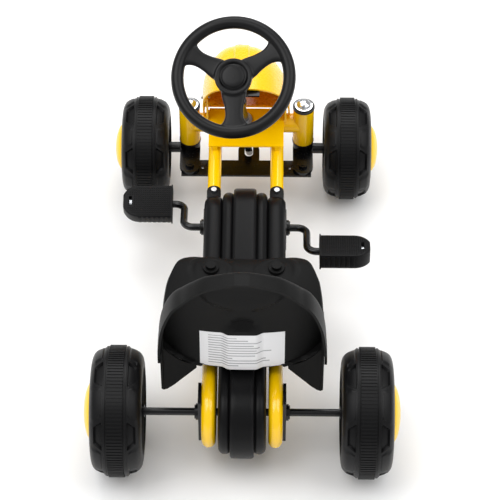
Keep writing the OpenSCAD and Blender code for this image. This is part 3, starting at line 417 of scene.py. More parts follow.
def make_tyre(name, radius, cap_r, bore, sector_columns):
    """A hollow-looking closed wheel about the origin, its outer side towards +X."""
    half = shoulder(radius)
    hub = 15.5
    seat = cap_r + 0.5
    outside = [(40, seat + 4), (39.2, seat + 2.6), (37.5, seat), (36, seat), (36, cap_r - 6),
               (30, cap_r - 8), (26, hub), (26, bore)]
    inside = [(-34, bore), (-34, hub), (-28, hub + 4), (-26, radius * 0.42),
              (-28, radius * 0.55), (-35, radius * 0.62), (-37.5, radius * 0.66)]
    profile = inside + [(-a, r) for a, r in reversed(half)] + half + outside
    steps = SECTORS * sector_columns
    obj = turned(name, profile, steps)
    column = math.tau / steps
    edge = POCKET_COLUMNS * column
    whole = math.tau / SECTORS / 2

    mesh = bmesh.from_edit_mesh(obj.data)
    for v in mesh.verts:
        x, y, z = v.co / MM
        r, a = math.hypot(y, z), math.atan2(y, z)
        side, far = math.copysign(1, x), abs(x)
        if far < 18.9 or r < radius - 33:
            continue
        s = (a + whole) % (2 * whole) - whole
        if abs(abs(s) - whole) < column / 2:
            s = math.copysign(whole, s)
        t = min((far - 19) / 13.5, 1)
        width = edge * (1.12 - 0.42 * t)
        turn = abs(s)
        if turn <= edge + column / 4:
            new = turn * width / edge
        else:
            new = width + (turn - edge) * (whole - width) / (whole - edge)
        if turn < edge - column / 4 and 19.5 < far < 32:
            r -= POCKET_DEEP * (1 - 0.35 * t)
            x -= side * POCKET_DEEP * 0.45 * t
        if whole - turn < (sector_columns / 2 - POCKET_COLUMNS - 3) * column and far > 21:
            lift = PANEL_PROUD * (1 - between(far, 34, 39))
            r += lift
        a += math.copysign(new, s) - s
        v.co = Vector((x, r * math.sin(a), r * math.cos(a))) * MM
    bmesh.update_edit_mesh(obj.data)

    def on_rib(face):
        c = face.calc_center_median() / MM
        r = math.hypot(c.y, c.z)
        return (abs(c.x) < BAND and r > radius - 2
                and int(math.floor(math.atan2(c.y, c.z) / column)) % 2 == 0)
    pick(obj, "faces", on_rib)
    bpy.ops.mesh.extrude_region_move(TRANSFORM_OT_translate={"value": (0, 0, 0)})
    mesh = bmesh.from_edit_mesh(obj.data)
    for v in mesh.verts:
        if v.select:
            r = math.hypot(v.co.y, v.co.z)
            grow = radius * MM / r
            v.co = (v.co.x * 0.985, v.co.y * grow, v.co.z * grow)
    bmesh.update_edit_mesh(obj.data)
    bpy.ops.mesh.select_all(action="SELECT")
    bpy.ops.mesh.normals_make_consistent(inside=False)
    bpy.ops.object.mode_set(mode="OBJECT")
    smooth(obj, 28)
    return obj


def make_cap(name, cap_r, proud):
    """A domed hub cap with a rolled edge."""
    top = TYRE_W / 2 + proud
    low = 36.2
    dome = [(low + 3 + (top - low - 3) * math.sin(a), cap_r * math.cos(a))
            for a in [math.radians(d) for d in range(6, 87, 5)]]
    profile = [(low, cap_r - 2.5), (low, cap_r - 0.4), (low + 0.4, cap_r),
               (low + 2.4, cap_r)] + dome + [(top, 0.8)]
    inner = [(x - 2.2, r - 1.8) for x, r in dome if r > 4]
    profile += [(top - 2.2, 0.8)] + inner[::-1]
    obj = turned(name, profile, 96)
    pick(obj, "verts", lambda v: math.hypot(v.co.y, v.co.z) < 0.9 * MM and v.co.x > (top - 1) * MM)
    bpy.ops.mesh.merge(type="CENTER")
    pick(obj, "verts", lambda v: math.hypot(v.co.y, v.co.z) < 0.9 * MM and v.co.x < (top - 1) * MM)
    bpy.ops.mesh.merge(type="CENTER")
    bpy.ops.mesh.select_all(action="SELECT")
    bpy.ops.mesh.normals_make_consistent(inside=False)
    bpy.ops.object.mode_set(mode="OBJECT")
    smooth(obj, 40)
    return obj


def tyre_middle(node):
    low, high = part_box(node)
    return (low + high) / 2


WHEELS = [("front_left", 87, 39, 9, 32, "front_left_wheel"),
          ("front_right", 87, 39, 9, 32, "front_right_wheel"),
          ("rear_left", 102.5, 46, 6.1, 38, "rear_axle"),
          ("rear_right", 102.5, 46, 9, 38, "rear_right_wheel")]
for name, radius, cap_r, bore, columns, body in WHEELS:
    centre = tyre_middle(name + "_tyre")
    side = math.copysign(1, centre.x)
    turn = Matrix.Translation(centre) @ Matrix.Diagonal((side, 1, 1, 1))
    tyre = make_tyre(name + "_moulded_tyre", radius, cap_r, bore, columns)
    cap = make_cap(name + "_domed_cap", cap_r, 12.5)
    for obj in (tyre, cap):
        obj.data.transform(turn)
        if side < 0:
            obj.data.flip_normals()
    hand_over(tyre, body, TYRE_PLASTIC, "tyre_plastic", name + "_tyre")
    hand_over(cap, body, CAP_MOULDING, "yellow_moulding", name + "_cap")

# ---------------------------------------------------------------- steering wheel

COLUMN_L = 339.2      # along the column from the beam to the hub
COLUMN_LEAN = -3.552   # degrees, sideways
COLUMN_RAKE = 31.06    # degrees, backwards
COLUMN = (Matrix.Translation(Vector((0, FRONT_Y, BEAM_Z)) * MM)
          @ Matrix.Rotation(math.radians(COLUMN_LEAN), 4, "Y")
          @ Matrix.Rotation(math.radians(COLUMN_RAKE), 4, "X"))
HUB = COLUMN @ Matrix.Translation((0, 0, COLUMN_L * MM))
RIM_R, RIM_TUBE = 87, 10


def make_steering_wheel():
    deselect()
    bpy.ops.mesh.primitive_torus_add(
        major_radius=RIM_R * MM, minor_radius=RIM_TUBE * MM, major_segments=96,
        minor_segments=32, location=(0, 0, 0))
    parts = [bpy.context.object]
    # a spoke's stations: distance from the hub's axis, half width, foot and top heights
    stations = [(12, 19, -9, 3.5), (30, 17, -7, 3.2), (45, 13.6, -5.5, 3.4),
                (60, 12.6, -5, 4.2), (70, 15.5, -5.2, 5), (79, 22, -5.5, 5.5),
                (86, 27, -5, 5)]
    for angle in (30, 150, 270):
        wide = 1.12 if angle == 270 else 1.0
        rows = []
        for x, w, low, high in curve_through(stations, 18):
            ring = []
            for k in range(16):
                a = math.tau * k / 16
                c, s = math.cos(a), math.sin(a)
                y = w * wide * math.copysign(abs(c) ** 0.6, c)
                z = (low + high) / 2 + (high - low) / 2 * math.copysign(abs(s) ** 0.6, s)
                ring.append((x, y, z))
            rows.append(ring)
        spoke = from_grid("spoke", rows, close_cols=True)
        activate(spoke)
        bpy.ops.object.mode_set(mode="EDIT")
        bpy.ops.mesh.select_all(action="SELECT")
        bpy.ops.mesh.fill_holes(sides=0)
        bpy.ops.mesh.normals_make_consistent(inside=False)
        bpy.ops.object.mode_set(mode="OBJECT")
        spoke.data.transform(Matrix.Rotation(math.radians(angle), 4, "Z"))
        parts.append(spoke)
    hub = turned("hub", [(-29, 7), (-29, 21), (-27.5, 23), (-12, 24.5), (-10, 28.5),
                         (3.5, 29.5), (5.4, 28.8), (6, 27.2), (5.6, 23.2), (4.2, 22),
                         (0.5, 21.2), (0.5, 0.3), (-11, 0.3), (-11, 6.2), (-29, 6.2)], 72)
    tidy(hub)
    hub.data.transform(Matrix.Rotation(math.radians(-90), 4, "Y"))
    parts.append(hub)
    wheel = join("moulded_steering_wheel", parts)
    finish_with(wheel, "REMESH", mode="VOXEL", voxel_size=1.35 * MM, adaptivity=0.0)
    finish_with(wheel, "SMOOTH", factor=0.5, iterations=6)
    for p in wheel.data.polygons:
        p.use_smooth = True
    wheel.data.transform(HUB)
    return wheel


wheel = make_steering_wheel()
hand_over(wheel, "steering", WHEEL_PLASTIC, "wheel_moulding", "steering_wheel")

cap = turned("steering_hub_cap", [(0.9, 0.3), (0.9, 20.4), (3.6, 20.4), (4.6, 19.8),
                                  (5.0, 18.6), (5.6, 17.6), (7.0, 16.8), (7.6, 15),
                                  (8.0, 10), (8.1, 0.3)], 72)
tidy(cap)
smooth(cap, 30)
cap.data.transform(HUB @ Matrix.Rotation(math.radians(-90), 4, "Y"))
hand_over(cap, "steering", WHEEL_PLASTIC, "wheel_moulding", "steering_cap")

# ---------------------------------------------------------------- seat

SEAT_HALF = 124
SEAT_WALL = 4
SEAT_RIM_Y = 7
# y ahead of the rear axle, height, share of the half width, curl of the sides
SEAT_STATIONS = [(229, 191, 0.5, 2), (221, 198, 0.7, 5), (202, 203, 0.86, 12),
                 (176, 199, 0.94, 20), (147, 195, 0.98, 26), (108, 189, 1.0, 32),
                 (70, 182, 1.0, 36), (46, 179, 1.0, 35), (30, 180, 1.0, 33),
                 (23, 190, 1.0, 31), (27, 232, 0.99, 26), (33, 290, 0.945, 15),
                 (34, 335, 0.83, 9), (33, 357, 0.69, 6), (32, 372, 0.575, 4),
                 (31, 386, 0.43, 3), (31, 395, 0.235, 1), (31, 400, 0.08, 0)]
SEAT_ROWS, SEAT_COLS = 150, 92
RIM_FROM = 9          # station where the rim of the back starts
SEAT_FEET = [(200, 214), (82, 203)]


def seat_relief(x, z):
    """How far the back's face stands out behind its plain surface, in millimetres."""
    line = 313.7 + 25 * (x / 57) ** 2
    fade = 1 - between(abs(x), 48, 66)
    swell = 5 * fade * between(z, line - 1.5, line + 2.5) * (1 - between(z, line + 8, 376))
    hump = 5 * (1 - between(abs(x), 20, 33)) * (1 - between(z, 270, 281))
    scoop = max(0.0, 1 - (x / 20) ** 2 - ((z - 283) / 8) ** 2)
    return swell + hump - 5 * math.sqrt(scoop)


def thigh_ring(x, y):
    """Height of the low ridge round each front bolt."""
    out = 0
    for s in (-1, 1):
        r = math.hypot(x - s * RAIL_X, (y - 196) * 1.15)
        out += 2.2 * math.exp(-((r - 31) / 3.5) ** 2) * between(y, 178, 200)
    return out


def make_seat():
    path = curve_through(SEAT_STATIONS, SEAT_ROWS)
    rows = []
    for i, (y, z, share, curl) in enumerate(path):
        a, b = path[max(i - 1, 0)], path[min(i + 1, SEAT_ROWS)]
        dy, dz = b[0] - a[0], b[1] - a[1]
        size = math.hypot(dy, dz)
        ny, nz = dz / size, -dy / size
        if nz < 0 and y > 60:
            ny, nz = -ny, -nz
        row = []
        for j in range(SEAT_COLS + 1):
            u = j / SEAT_COLS * 2 - 1
            x = u * share * SEAT_HALF
            c = curl * abs(u) ** 2.5
            if z > 200 and y < 60:
                c -= seat_relief(x, z)
            if y > 120:
                c += thigh_ring(x, y)
            row.append((x, REAR_Y + y + ny * c, z + nz * c))
        rows.append(row)
    seat = from_grid("moulded_seat", rows)
    first = round(RIM_FROM / (len(SEAT_STATIONS) - 1) * SEAT_ROWS)
    width = SEAT_COLS + 1
    edge = ([i * width for i in range(first, SEAT_ROWS)]
            + [SEAT_ROWS * width + j for j in range(width)]
            + [i * width + SEAT_COLS for i in range(SEAT_ROWS - 1, first - 1, -1)])
    mesh = bmesh.new()
    mesh.from_mesh(seat.data)
    mesh.verts.ensure_lookup_table()
    last = [mesh.verts[k] for k in edge]
    centre = Vector((0, 0, 0.27))
    start = [v.co.copy() for v in last]
    for part, spread in ((0.05, 0.7), (0.16, 1.3), (0.4, 1.6), (0.8, 1.6), (1.0, 1.2)):
        ring = []
        for k, p in enumerate(start):
            n = len(start) - 1
            along = start[min(k + 1, n)] - start[max(k - 1, 0)]
            out = Vector((-along.z, 0, along.x)).normalized()
            rear = (REAR_Y + SEAT_RIM_Y) * MM
            low = between(p.z, 0.19, 0.26)
            ring.append(mesh.verts.new((
                p.x + out.x * spread * MM, p.y + (rear - p.y) * part * (0.6 + 0.4 * low),
                p.z + out.z * spread * MM)))
        for k in range(len(ring) - 1):
            mesh.faces.new((last[k], last[k + 1], ring[k + 1], ring[k]))
        last = ring
    mesh.to_mesh(seat.data)
    mesh.free()
    tidy(seat)
    # the sheet is the side away from the rider; its wall grows towards the rider
    middle_face = min(seat.data.polygons,
                      key=lambda p: (p.center - Vector((0, (REAR_Y + 35) * MM, 0.25))).length)
    if middle_face.normal.y > 0:
        seat.data.flip_normals()
    finish_with(seat, "SOLIDIFY", thickness=SEAT_WALL * MM, offset=-1.0)
    parts = [seat]
    for s in (-1, 1):
        for y, top in SEAT_FEET:
            foot = turned("foot", [(158.4, 0.3), (158.4, 11.5), (160, 12), (top - 16, 12.4),
                                   (top - 4, 13), (top - 1, 12.2), (top - 1, 0.3)], 40)
            tidy(foot)
            foot.data.transform(Matrix.Translation(Vector((s * RAIL_X, REAR_Y + y, 0)) * MM)
                                @ Matrix.Rotation(math.radians(-90), 4, "Y"))
            parts.append(foot)
        skirt = from_outline("skirt", [(7, 150), (19, 150), (24, 153), (96, 222), (98, 230),
                                       (92, 240), (60, 262), (7, 224)],
                             s * (SEAT_HALF - SEAT_WALL), s * SEAT_HALF)
        finish_with(skirt, "BEVEL", width=1.6 * MM, segments=3, limit_method="ANGLE")
        parts.append(skirt)
        rows = []
        for i in range(9):
            t = i / 8
            low = [p + (q - p) * t for p, q in zip((121.5, 9, 148), (105, 15, 147))]
            if t > 0.4:
                f = (t - 0.4) / 0.6
                low = [p + (q - p) * f for p, q in zip((112, 13, 147), (70, 27, 181))]
            high = [p + (q - p) * t for p, q in zip((121.5, 30, 226), (70, 29, 186))]
            high[2] -= 9 * math.sin(math.pi * t)
            rows.append([(s * (p + (q - p) * k / 6), REAR_Y + low[1] + (high[1] - low[1]) * k / 6,
                          low[2] + (high[2] - low[2]) * k / 6)
                         for k in range(7) for p, q in ((low[0], high[0]),)])
        apron = from_grid("apron", rows)
        tidy(apron)
        finish_with(apron, "SOLIDIFY", thickness=3 * MM, offset=0)
        parts.append(apron)
    seat = join("moulded_seat", parts)
    smooth(seat, 40)
    return seat


def from_outline(name, outline, x0, x1):
    """A slab with a side outline (y ahead of the rear axle, z), from x0 to x1."""
    points = [(x0 * MM, (REAR_Y + y) * MM, z * MM) for y, z in outline]
    mesh = bpy.data.meshes.new(name)
    mesh.from_pydata(points, [], [range(len(points))])
    obj = bpy.data.objects.new(name, mesh)
    bpy.context.scene.collection.objects.link(obj)
    activate(obj)
    bpy.ops.object.mode_set(mode="EDIT")
    bpy.ops.mesh.select_all(action="SELECT")
    bpy.ops.mesh.extrude_region_move(
        TRANSFORM_OT_translate={"value": ((x1 - x0) * MM, 0, 0)})
    tidy(obj)
    return obj


hand_over(make_seat(), "frame", SEAT_PLASTIC, "black_moulding", "seat")


def back_point(x, z, off):
    """A point of the back's rear face, off millimetres behind it."""
    path = curve_through(SEAT_STATIONS, 400)
    y, _, share, curl = min((p for p in path if p[0] < 40 and p[1] > 186),
                            key=lambda p: abs(p[1] - z))
    c = curl * abs(x / (share * SEAT_HALF)) ** 2.5 - seat_relief(x, z)
    return (x, REAR_Y + y + c - off, z)


def make_label():
    """A thin sheet that follows the back, with plain grey bars instead of lettering."""
    rows = []
    for i in range(25):
        z = 188 + (263 - 188) * i / 24
        rows.append([back_point(-64.5 + 129 * j / 48, z, 0.5) for j in range(49)])
    label = from_grid("seat_label", rows)
    uv = label.data.uv_layers.new(name="print")
    for loop in label.data.loops:
        k = loop.vertex_index
        uv.data[loop.index].uv = (k % 49 / 48, k // 49 / 24)
    if label.data.polygons[0].normal.y > 0:
        label.data.flip_normals()
    finish_with(label, "SOLIDIFY", thickness=0.25 * MM, offset=-1.0)
    return label


hand_over(make_label(), "frame", LABEL, "black_moulding")

# ---------------------------------------------------------------- fairing

FAIRING_FOOT = 169.9
FAIRING_LEAN = 70
FAIRING_ROWS = 72
FAIRING_SHIFT = 8      # the crown lies to the left of the centre line
FAIRING_WALL = 3
SHOULDER_SHARPNESS = 0.7
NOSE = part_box("fairing")[1].y / MM - FRONT_Y
# crown ahead of the beam, half width, crown height, foot height, share of the lean
FAIRING_STATIONS = [
    (-70, 73, 305, FAIRING_FOOT, 1), (-30, 73, 303, FAIRING_FOOT - 4, 0.72),
    (10, 73, 294, FAIRING_FOOT - 16, 0.42), (50, 62, 279, FAIRING_FOOT - 28, 0.18),
    (85, 50, 246, FAIRING_FOOT - 36, 0.0), (112, 37, 206, FAIRING_FOOT - 40, 0.0),
    (NOSE, 22, 160, FAIRING_FOOT - 40, 0.0)]


def fairing_point(station, a, off):
    """A point of the fairing's skin; off stands out from it at the crown."""
    ahead, half, crown, foot, lean = station
    rise = max(math.cos(math.radians(a)), 0) ** SHOULDER_SHARPNESS
    wide = abs(math.sin(math.radians(a))) ** SHOULDER_SHARPNESS
    x = math.copysign(half * wide, a) - FAIRING_SHIFT * rise * rise
    return (x, FRONT_Y + ahead + lean * FAIRING_LEAN * (1 - rise),
            foot + (crown - foot) * rise + off)


def make_fairing():
    stations = curve_through(FAIRING_STATIONS, FAIRING_ROWS)
    rows = []
    for k, station in enumerate(stations):
        row = []
        for j in range(-60, 61):
            a = 90 * math.copysign(abs(j / 60) ** 1.25, j)
            x = fairing_point(station, a, 0)[0] + FAIRING_SHIFT
            strip = 3.2 * (1 - between(abs(x), 10.5, 13)) * (1 - between(k, 52, 66))
            row.append(fairing_point(station, a, strip))
        rows.append(row)
    # closed nose: the last rows draw in to a small end
    last = stations[-1]
    for shrink, ahead in ((0.9, 1.6), (0.6, 2.2), (0.25, 2.4)):
        row = []
        for x, y, z in rows[FAIRING_ROWS]:
            middle_z = last[3] + (last[2] - last[3]) * 0.4
            row.append((x * shrink, min(y + ahead, FRONT_Y + NOSE + 2.4),
                        middle_z + (z - middle_z) * shrink))
        rows.append(row)
    shell = from_grid("moulded_fairing", rows)
    tidy(shell)
    top = max(shell.data.polygons, key=lambda p: p.center.z)
    if top.normal.z < 0:
        shell.data.flip_normals()
    finish_with(shell, "SOLIDIFY", thickness=FAIRING_WALL * MM, offset=-1.0)
    cut_with(shell, rod("window", 10.5, -90, 90, FRONT_Y + 30, FAIRING_FOOT + 2))
    # closed underside from the front beam to the nose
    rows = []
    for ahead, half, _, foot, lean in stations:
        if ahead + lean * FAIRING_LEAN < 20:
            continue
        y = FRONT_Y + min(ahead + lean * FAIRING_LEAN, NOSE + 1)
        rows.append([((half - 2) * k / 12, y, foot + 1.5) for k in range(-12, 13)])
    under = from_grid("under", rows)
    tidy(under)
    finish_with(under, "SOLIDIFY", thickness=FAIRING_WALL * MM, offset=0)
    shell = join("moulded_fairing", [shell, under])
    smooth(shell, 40)
    return shell


def make_stripe():
    """A slanted film stripe on the raised strip."""
    stations = curve_through(FAIRING_STATIONS, FAIRING_ROWS)
    rows = []
    for i in range(9):
        k = 40 + i * 1.5
        low, high = stations[int(k)], stations[min(int(k) + 1, FAIRING_ROWS)]
        f = k - int(k)
        station = [p + (q - p) * f for p, q in zip(low, high)]
        row = []
        for j in range(5):
            x = -8.5 + i * 0.55 + j * 1.9
            a = math.degrees(math.asin(min((abs(x) / station[1]) ** (1 / SHOULDER_SHARPNESS), 1)))
            row.append(fairing_point(station, math.copysign(a, x), 3.35))
        rows.append(row)
    film = from_grid("fairing_stripe", rows)
    if film.data.polygons[0].normal.z < 0:
        film.data.flip_normals()
    finish_with(film, "SOLIDIFY", thickness=0.15 * MM, offset=1.0)
    return film


hand_over(make_fairing(), "frame", YELLOW_MOULDING, "yellow_moulding", "fairing")
hand_over(make_stripe(), "frame", STRIPE, "yellow_moulding")

# ---------------------------------------------------------------- chain covers

CRANK_Y, CRANK_Z = 356, middle("crank_sprocket").z
REAR_R, CRANK_R = 71, 64
SEAM_DROP = 28
COVER_WALL = 2.5
LAP = 1.2
LOBE_FOOT = 148.4
LUG_Y, LUG_Z = middle("cover_bolts").y - REAR_Y, 158.4
# across the cover: distance from the middle, how far below the rib's crown
RIB_AND_LOBE = [(0, 0), (8, 0), (13.5, 0.1), (16, 0.6), (17.6, 1.7), (18.4, 3.6),
                (18.7, 9.0), (19.4, 9.6), (20.6, 8.6), (23, 7.4), (26.5, 6.9), (30, 7.3),
                (33, 8.9), (35.2, 11.4), (36.6, 14.8), (37, 19)]
OUTER_LOBE = [(36.6, 20), (37.4, 17.6), (39, 15.6), (42, 13.9), (46, 13.1), (51, 12.9),
              (56, 13.5), (60, 15), (63, 17.4), (65.2, 20.6), (66.3, 24.5), (66.5, 28)]


def belt_stations():
    """Round the belt from below the crank: centre, radius and angle of each station."""
    dy, dz = CRANK_Y, CRANK_Z - REAR_Z
    length, lean = math.hypot(dy, dz), math.atan2(dz, dy)
    b = math.acos((REAR_R - CRANK_R) / length)
    crank, rear = (dy, CRANK_Z, CRANK_R), (0, REAR_Z, REAR_R)

    def arc(circle, start, end, count):
        return [(*circle, start + (end - start) * i / count) for i in range(count + 1)]

    def straight(a, c, angle, count):
        return [(*[p + (q - p) * i / count for p, q in zip(a, c)], angle)
                for i in range(1, count)]

    front = arc(crank, lean - b, lean + b, 32)
    back = arc(rear, lean + b, lean + math.tau - b, 40)
    return (front, straight(crank, rear, lean + b, 18), back,
            straight(rear, crank, lean - b, 18))


def belt_point(station, x, step):
    """A point on the covers; the lower part of the back stands out by the lap."""
    y, z, r, a = station
    if y == 0:
        r += LAP * between(a, math.radians(160), math.radians(161.5))
    elif z + r * math.sin(a) < REAR_Z:
        r += LAP * between(y, 80, 0)
    return (x, REAR_Y + y + (r - step) * math.cos(a), z + (r - step) * math.sin(a))


def above_seam(obj, keep_upper):
    slope = (CRANK_Z - REAR_Z) / CRANK_Y
    activate(obj)
    bpy.ops.object.mode_set(mode="EDIT")
    bpy.ops.mesh.select_all(action="SELECT")
    lift = 0.1 if keep_upper else -0.1
    bpy.ops.mesh.bisect(
        plane_co=(0, REAR_Y * MM, (REAR_Z - SEAM_DROP + lift) * MM),
        plane_no=(0, -slope, 1), clear_inner=keep_upper, clear_outer=not keep_upper,
        use_fill=False)
    bpy.ops.object.mode_set(mode="OBJECT")


def make_covers():
    front, top, back, bottom = belt_stations()
    profile = [(-x, s) for x, s in reversed(RIB_AND_LOBE[1:])] + RIB_AND_LOBE
    ring = from_grid("ring", [[belt_point(s, x, step) for x, step in profile]
                              for s in front + top + back + bottom], close_rows=True)
    activate(ring)
    bpy.ops.object.mode_set(mode="EDIT")
    for side in (-1, 1):
        pick(ring, "edges", lambda e: e.is_boundary and e.verts[0].co.x * side > 0)
        bpy.ops.mesh.edge_face_add()
    tidy(ring)
    halves = []
    for name, upper in (("upper_chain_cover", True), ("lower_chain_cover", False)):
        half = copy(ring, name)
        above_seam(half, upper)
        finish_with(half, "SOLIDIFY", thickness=COVER_WALL * MM, offset=-1.0)
        halves.append(half)
    bpy.data.objects.remove(ring)
    upper, lower = halves
    parts = []
    start = next(i for i, s in enumerate(front)
                 if s[1] + (s[2] - 13) * math.sin(s[3]) > LOBE_FOOT)
    path = front[start:] + [s for s in top if s[0] > 95]
    for side in (-1, 1):
        rows = []
        for s in path:
            row = [belt_point(s, side * x, step) for x, step in OUTER_LOBE]
            row = [(x, y, max(z, LOBE_FOOT)) for x, y, z in row]
            rows.append(row + [(side * 66.5, row[-1][1], LOBE_FOOT)])
        first = rows[0]
        rows.insert(0, [(x, y + 0.5, LOBE_FOOT) for x, y, z in first])
        back_row = rows[-1]
        rows.append([(x, y - 3, z - 1.2 if z > LOBE_FOOT else z) for x, y, z in back_row])
        rows.append([(x, y - 4.5, z - 5 if z > LOBE_FOOT + 6 else z) for x, y, z in back_row])
        rows.append([(x, y - 5, LOBE_FOOT) for x, y, z in back_row])
        lobe = from_grid("lobe", rows)
        tidy(lobe)
        top_face = max(lobe.data.polygons, key=lambda p: p.center.z)
        if top_face.normal.z < 0:
            lobe.data.flip_normals()
        finish_with(lobe, "SOLIDIFY", thickness=2 * MM, offset=-1.0)
        parts.append(lobe)
        lug = begin("lug", bpy.ops.mesh.primitive_cylinder_add, vertices=48,
                    radius=11.5 * MM, depth=3 * MM,
                    location=(side * RAIL_X * MM, (REAR_Y + LUG_Y) * MM, (LUG_Z + 1.5) * MM))
        pick(lug, "verts", lambda v: v.co.y < -0.0001)
        bpy.ops.transform.translate(value=(0, -14 * MM, 0))
        bpy.ops.object.mode_set(mode="OBJECT")
        place(lug)
        finish_with(lug, "BEVEL", width=0.9 * MM, segments=3, limit_method="ANGLE")
        parts.append(lug)
    for obj in (upper, lower):
        for y, z in ((0, REAR_Z), (CRANK_Y, CRANK_Z)):
            cut_with(obj, rod("bore", 14, -90, 90, REAR_Y + y, z))
    upper = join("upper_chain_cover", [upper] + parts)
    for obj in (upper, lower):
        smooth(obj, 32)
    return upper, lower


upper_cover, lower_cover = make_covers()
hand_over(upper_cover, "frame", COVER_PLASTIC, "black_moulding", "upper_cover")
hand_over(lower_cover, "frame", COVER_PLASTIC, "black_moulding", "lower_cover")

# ---------------------------------------------------------------- pedals

PEDAL_W, PEDAL_L, PEDAL_H = 82, 56, 26
PEDAL_X = 121
PEDAL_STRAIGHT = 56   # where the rounded outer end begins
SPINDLE_BORE = 6.1
CRANK_THROW = 65


def make_pedal():
    """A pedal about its spindle, outwards along +X."""
    r = PEDAL_L / 2
    outline = [(0, -r), (PEDAL_STRAIGHT, -r)]
    for k in range(1, 24):
        a = math.radians(-90 + 180 * k / 24)
        x = PEDAL_STRAIGHT + r * math.cos(a)
        outline.append((min(x, PEDAL_W), r * math.sin(a)))
    outline += [(PEDAL_STRAIGHT, r), (0, r)]
    points = [(x * MM, y * MM, -PEDAL_H / 2 * MM) for x, y in outline]
    mesh = bpy.data.meshes.new("pedal")
    mesh.from_pydata(points, [], [range(len(points))])
    body = bpy.data.objects.new("pedal", mesh)
    bpy.context.scene.collection.objects.link(body)
    activate(body)
    bpy.ops.object.mode_set(mode="EDIT")
    bpy.ops.mesh.select_all(action="SELECT")
    bpy.ops.mesh.extrude_region_move(
        TRANSFORM_OT_translate={"value": (0, 0, PEDAL_H * MM)})
    tidy(body)
    finish_with(body, "BEVEL", width=1.8 * MM, segments=3, limit_method="ANGLE")
    # slot near the outer end, and the spindle's bore
    deselect()
    bpy.ops.mesh.primitive_cube_add(size=1, location=(70 * MM, 0, 0))
    slot = bpy.context.object
    slot.dimensions = (5 * MM, 17 * MM, 40 * MM)
    place(slot)
    cut_with(body, slot)
    cut_with(body, rod("bore", SPINDLE_BORE, -2, 61, 0, 0))
    parts = [body]
    # ribs along the front and back edges, and a flange at the inner end
    for k in range(7):
        for e in (-1, 1):
            rib = begin("rib", bpy.ops.mesh.primitive_cube_add, size=1,
                        location=((6 + k * 8) * MM, e * (r + 0.4) * MM, 0))
            bpy.ops.transform.resize(value=(5.2 * MM, 1.8 * MM, 20 * MM))
            bpy.ops.object.mode_set(mode="OBJECT")
            place(rib)
            finish_with(rib, "BEVEL", width=0.5 * MM, segments=2, limit_method="ANGLE")
            parts.append(rib)
    flange = begin("flange", bpy.ops.mesh.primitive_cube_add, size=1,
                   location=(1.2 * MM, 0, 0))
    bpy.ops.transform.resize(value=(2.4 * MM, (PEDAL_L + 3) * MM, (PEDAL_H + 2) * MM))
    bpy.ops.object.mode_set(mode="OBJECT")
    place(flange)
    cut_with(flange, rod("bore", SPINDLE_BORE, -4, 8, 0, 0))
    finish_with(flange, "BEVEL", width=0.7 * MM, segments=2, limit_method="ANGLE")
    parts.append(flange)
    # small four-sided studs on both treads
    points, faces = [], []
    pitch, half, tall = 3.6, 1.25, 0.7
    for e in (-1, 1):
        for i in range(20):
            for j in range(14):
                x, y = 5.5 + i * pitch, (j - 6.5) * pitch
                past = x - PEDAL_STRAIGHT
                on_edge = (past > 0 and math.hypot(past, y) > 24) or x > 78
                over_slot = 66 < x < 74.5 and abs(y) < 11
                if on_edge or over_slot:
                    continue
                base = len(points)
                z = e * PEDAL_H / 2
                for dx, dy in ((-1, -1), (1, -1), (1, 1), (-1, 1)):
                    points.append((x + dx * half, y + dy * half, z - e * 0.3))
                for dx, dy in ((-1, -1), (1, -1), (1, 1), (-1, 1)):
                    points.append((x + dx * half * 0.55, y + dy * half * 0.55, z + e * tall))
                for k in range(4):
                    n = (k + 1) % 4
                    faces.append((base + k, base + n, base + 4 + n, base + 4 + k))
                faces += [(base + 4, base + 5, base + 6, base + 7),
                          (base + 3, base + 2, base + 1, base)]
    mesh = bpy.data.meshes.new("studs")
    mesh.from_pydata([[c * MM for c in p] for p in points], [], faces)
    studs = bpy.data.objects.new("studs", mesh)
    bpy.context.scene.collection.objects.link(studs)
    tidy(studs)
    parts.append(studs)
    pedal = join("pedal", parts)
    smooth(pedal, 30)
    return pedal


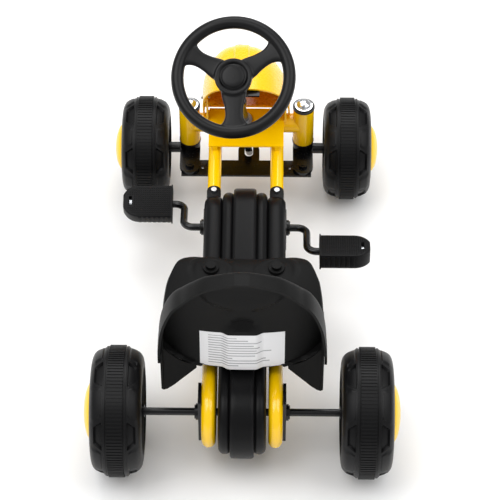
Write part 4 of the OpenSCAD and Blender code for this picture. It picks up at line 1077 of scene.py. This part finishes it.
pedal = make_pedal()
for name, side, angle, pitch in (("left", -1, -14, 18), ("right", 1, 166, -13)):
    angle = math.radians(angle)
    where = Matrix.Translation(Vector((
        0, REAR_Y + CRANK_Y + CRANK_THROW * math.cos(angle),
        CRANK_Z + CRANK_THROW * math.sin(angle))) * MM)
    turn = (Matrix.Diagonal((side, 1, 1, 1)) @ where @ Matrix.Translation((PEDAL_X * MM, 0, 0))
            @ Matrix.Rotation(math.radians(pitch), 4, "X"))
    hand_over(copy(pedal, name + "_moulded_pedal", turn), name + "_pedal", PEDAL_PLASTIC,
              "black_moulding", name + "_pedal")
bpy.data.objects.remove(pedal)

# ---------------------------------------------------------------- floor, light, camera

deselect()
bpy.ops.mesh.primitive_plane_add(size=40, location=(0, 0, -0.0006))
floor = bpy.context.object
floor.name = "studio_floor"
floor_finish, _, _ = blank("studio_paper", Base_Color=linear("#F6F6F6"),
                                      Roughness=0.9)
floor.data.materials.append(floor_finish)

world = bpy.data.worlds.new("studio")
bpy.context.scene.world = world
world.use_nodes = True
world.node_tree.nodes["Background"].inputs["Color"].default_value = (1, 1, 1, 1)
world.node_tree.nodes["Background"].inputs["Strength"].default_value = 0.5

for name, where, size, power in (("key", (-1.8, -0.6, 3.6), 3.0, 95),
                                 ("fill", (2.2, -0.4, 3.2), 3.0, 70),
                                 ("top", (0.0, 2.2, 3.4), 2.6, 70)):
    lamp = bpy.data.lights.new(name, "AREA")
    lamp.size, lamp.energy = size, power
    holder = bpy.data.objects.new(name, lamp)
    holder.location = where
    aim = Vector((0, 0, 0.15)) - Vector(where)
    holder.rotation_euler = aim.to_track_quat("-Z", "Y").to_euler()
    bpy.context.scene.collection.objects.link(holder)

camera = bpy.data.objects.new("camera", bpy.data.cameras.new("camera"))
camera.location = (0.0351, -2.3947, 3.0110)
camera.rotation_euler = (math.radians(39.81), 0, math.radians(0.63))
camera.data.lens = 166.24
camera.data.sensor_width = 36
bpy.context.scene.collection.objects.link(camera)
bpy.context.scene.camera = camera
bpy.context.scene.view_settings.view_transform = "Standard"

deselect()
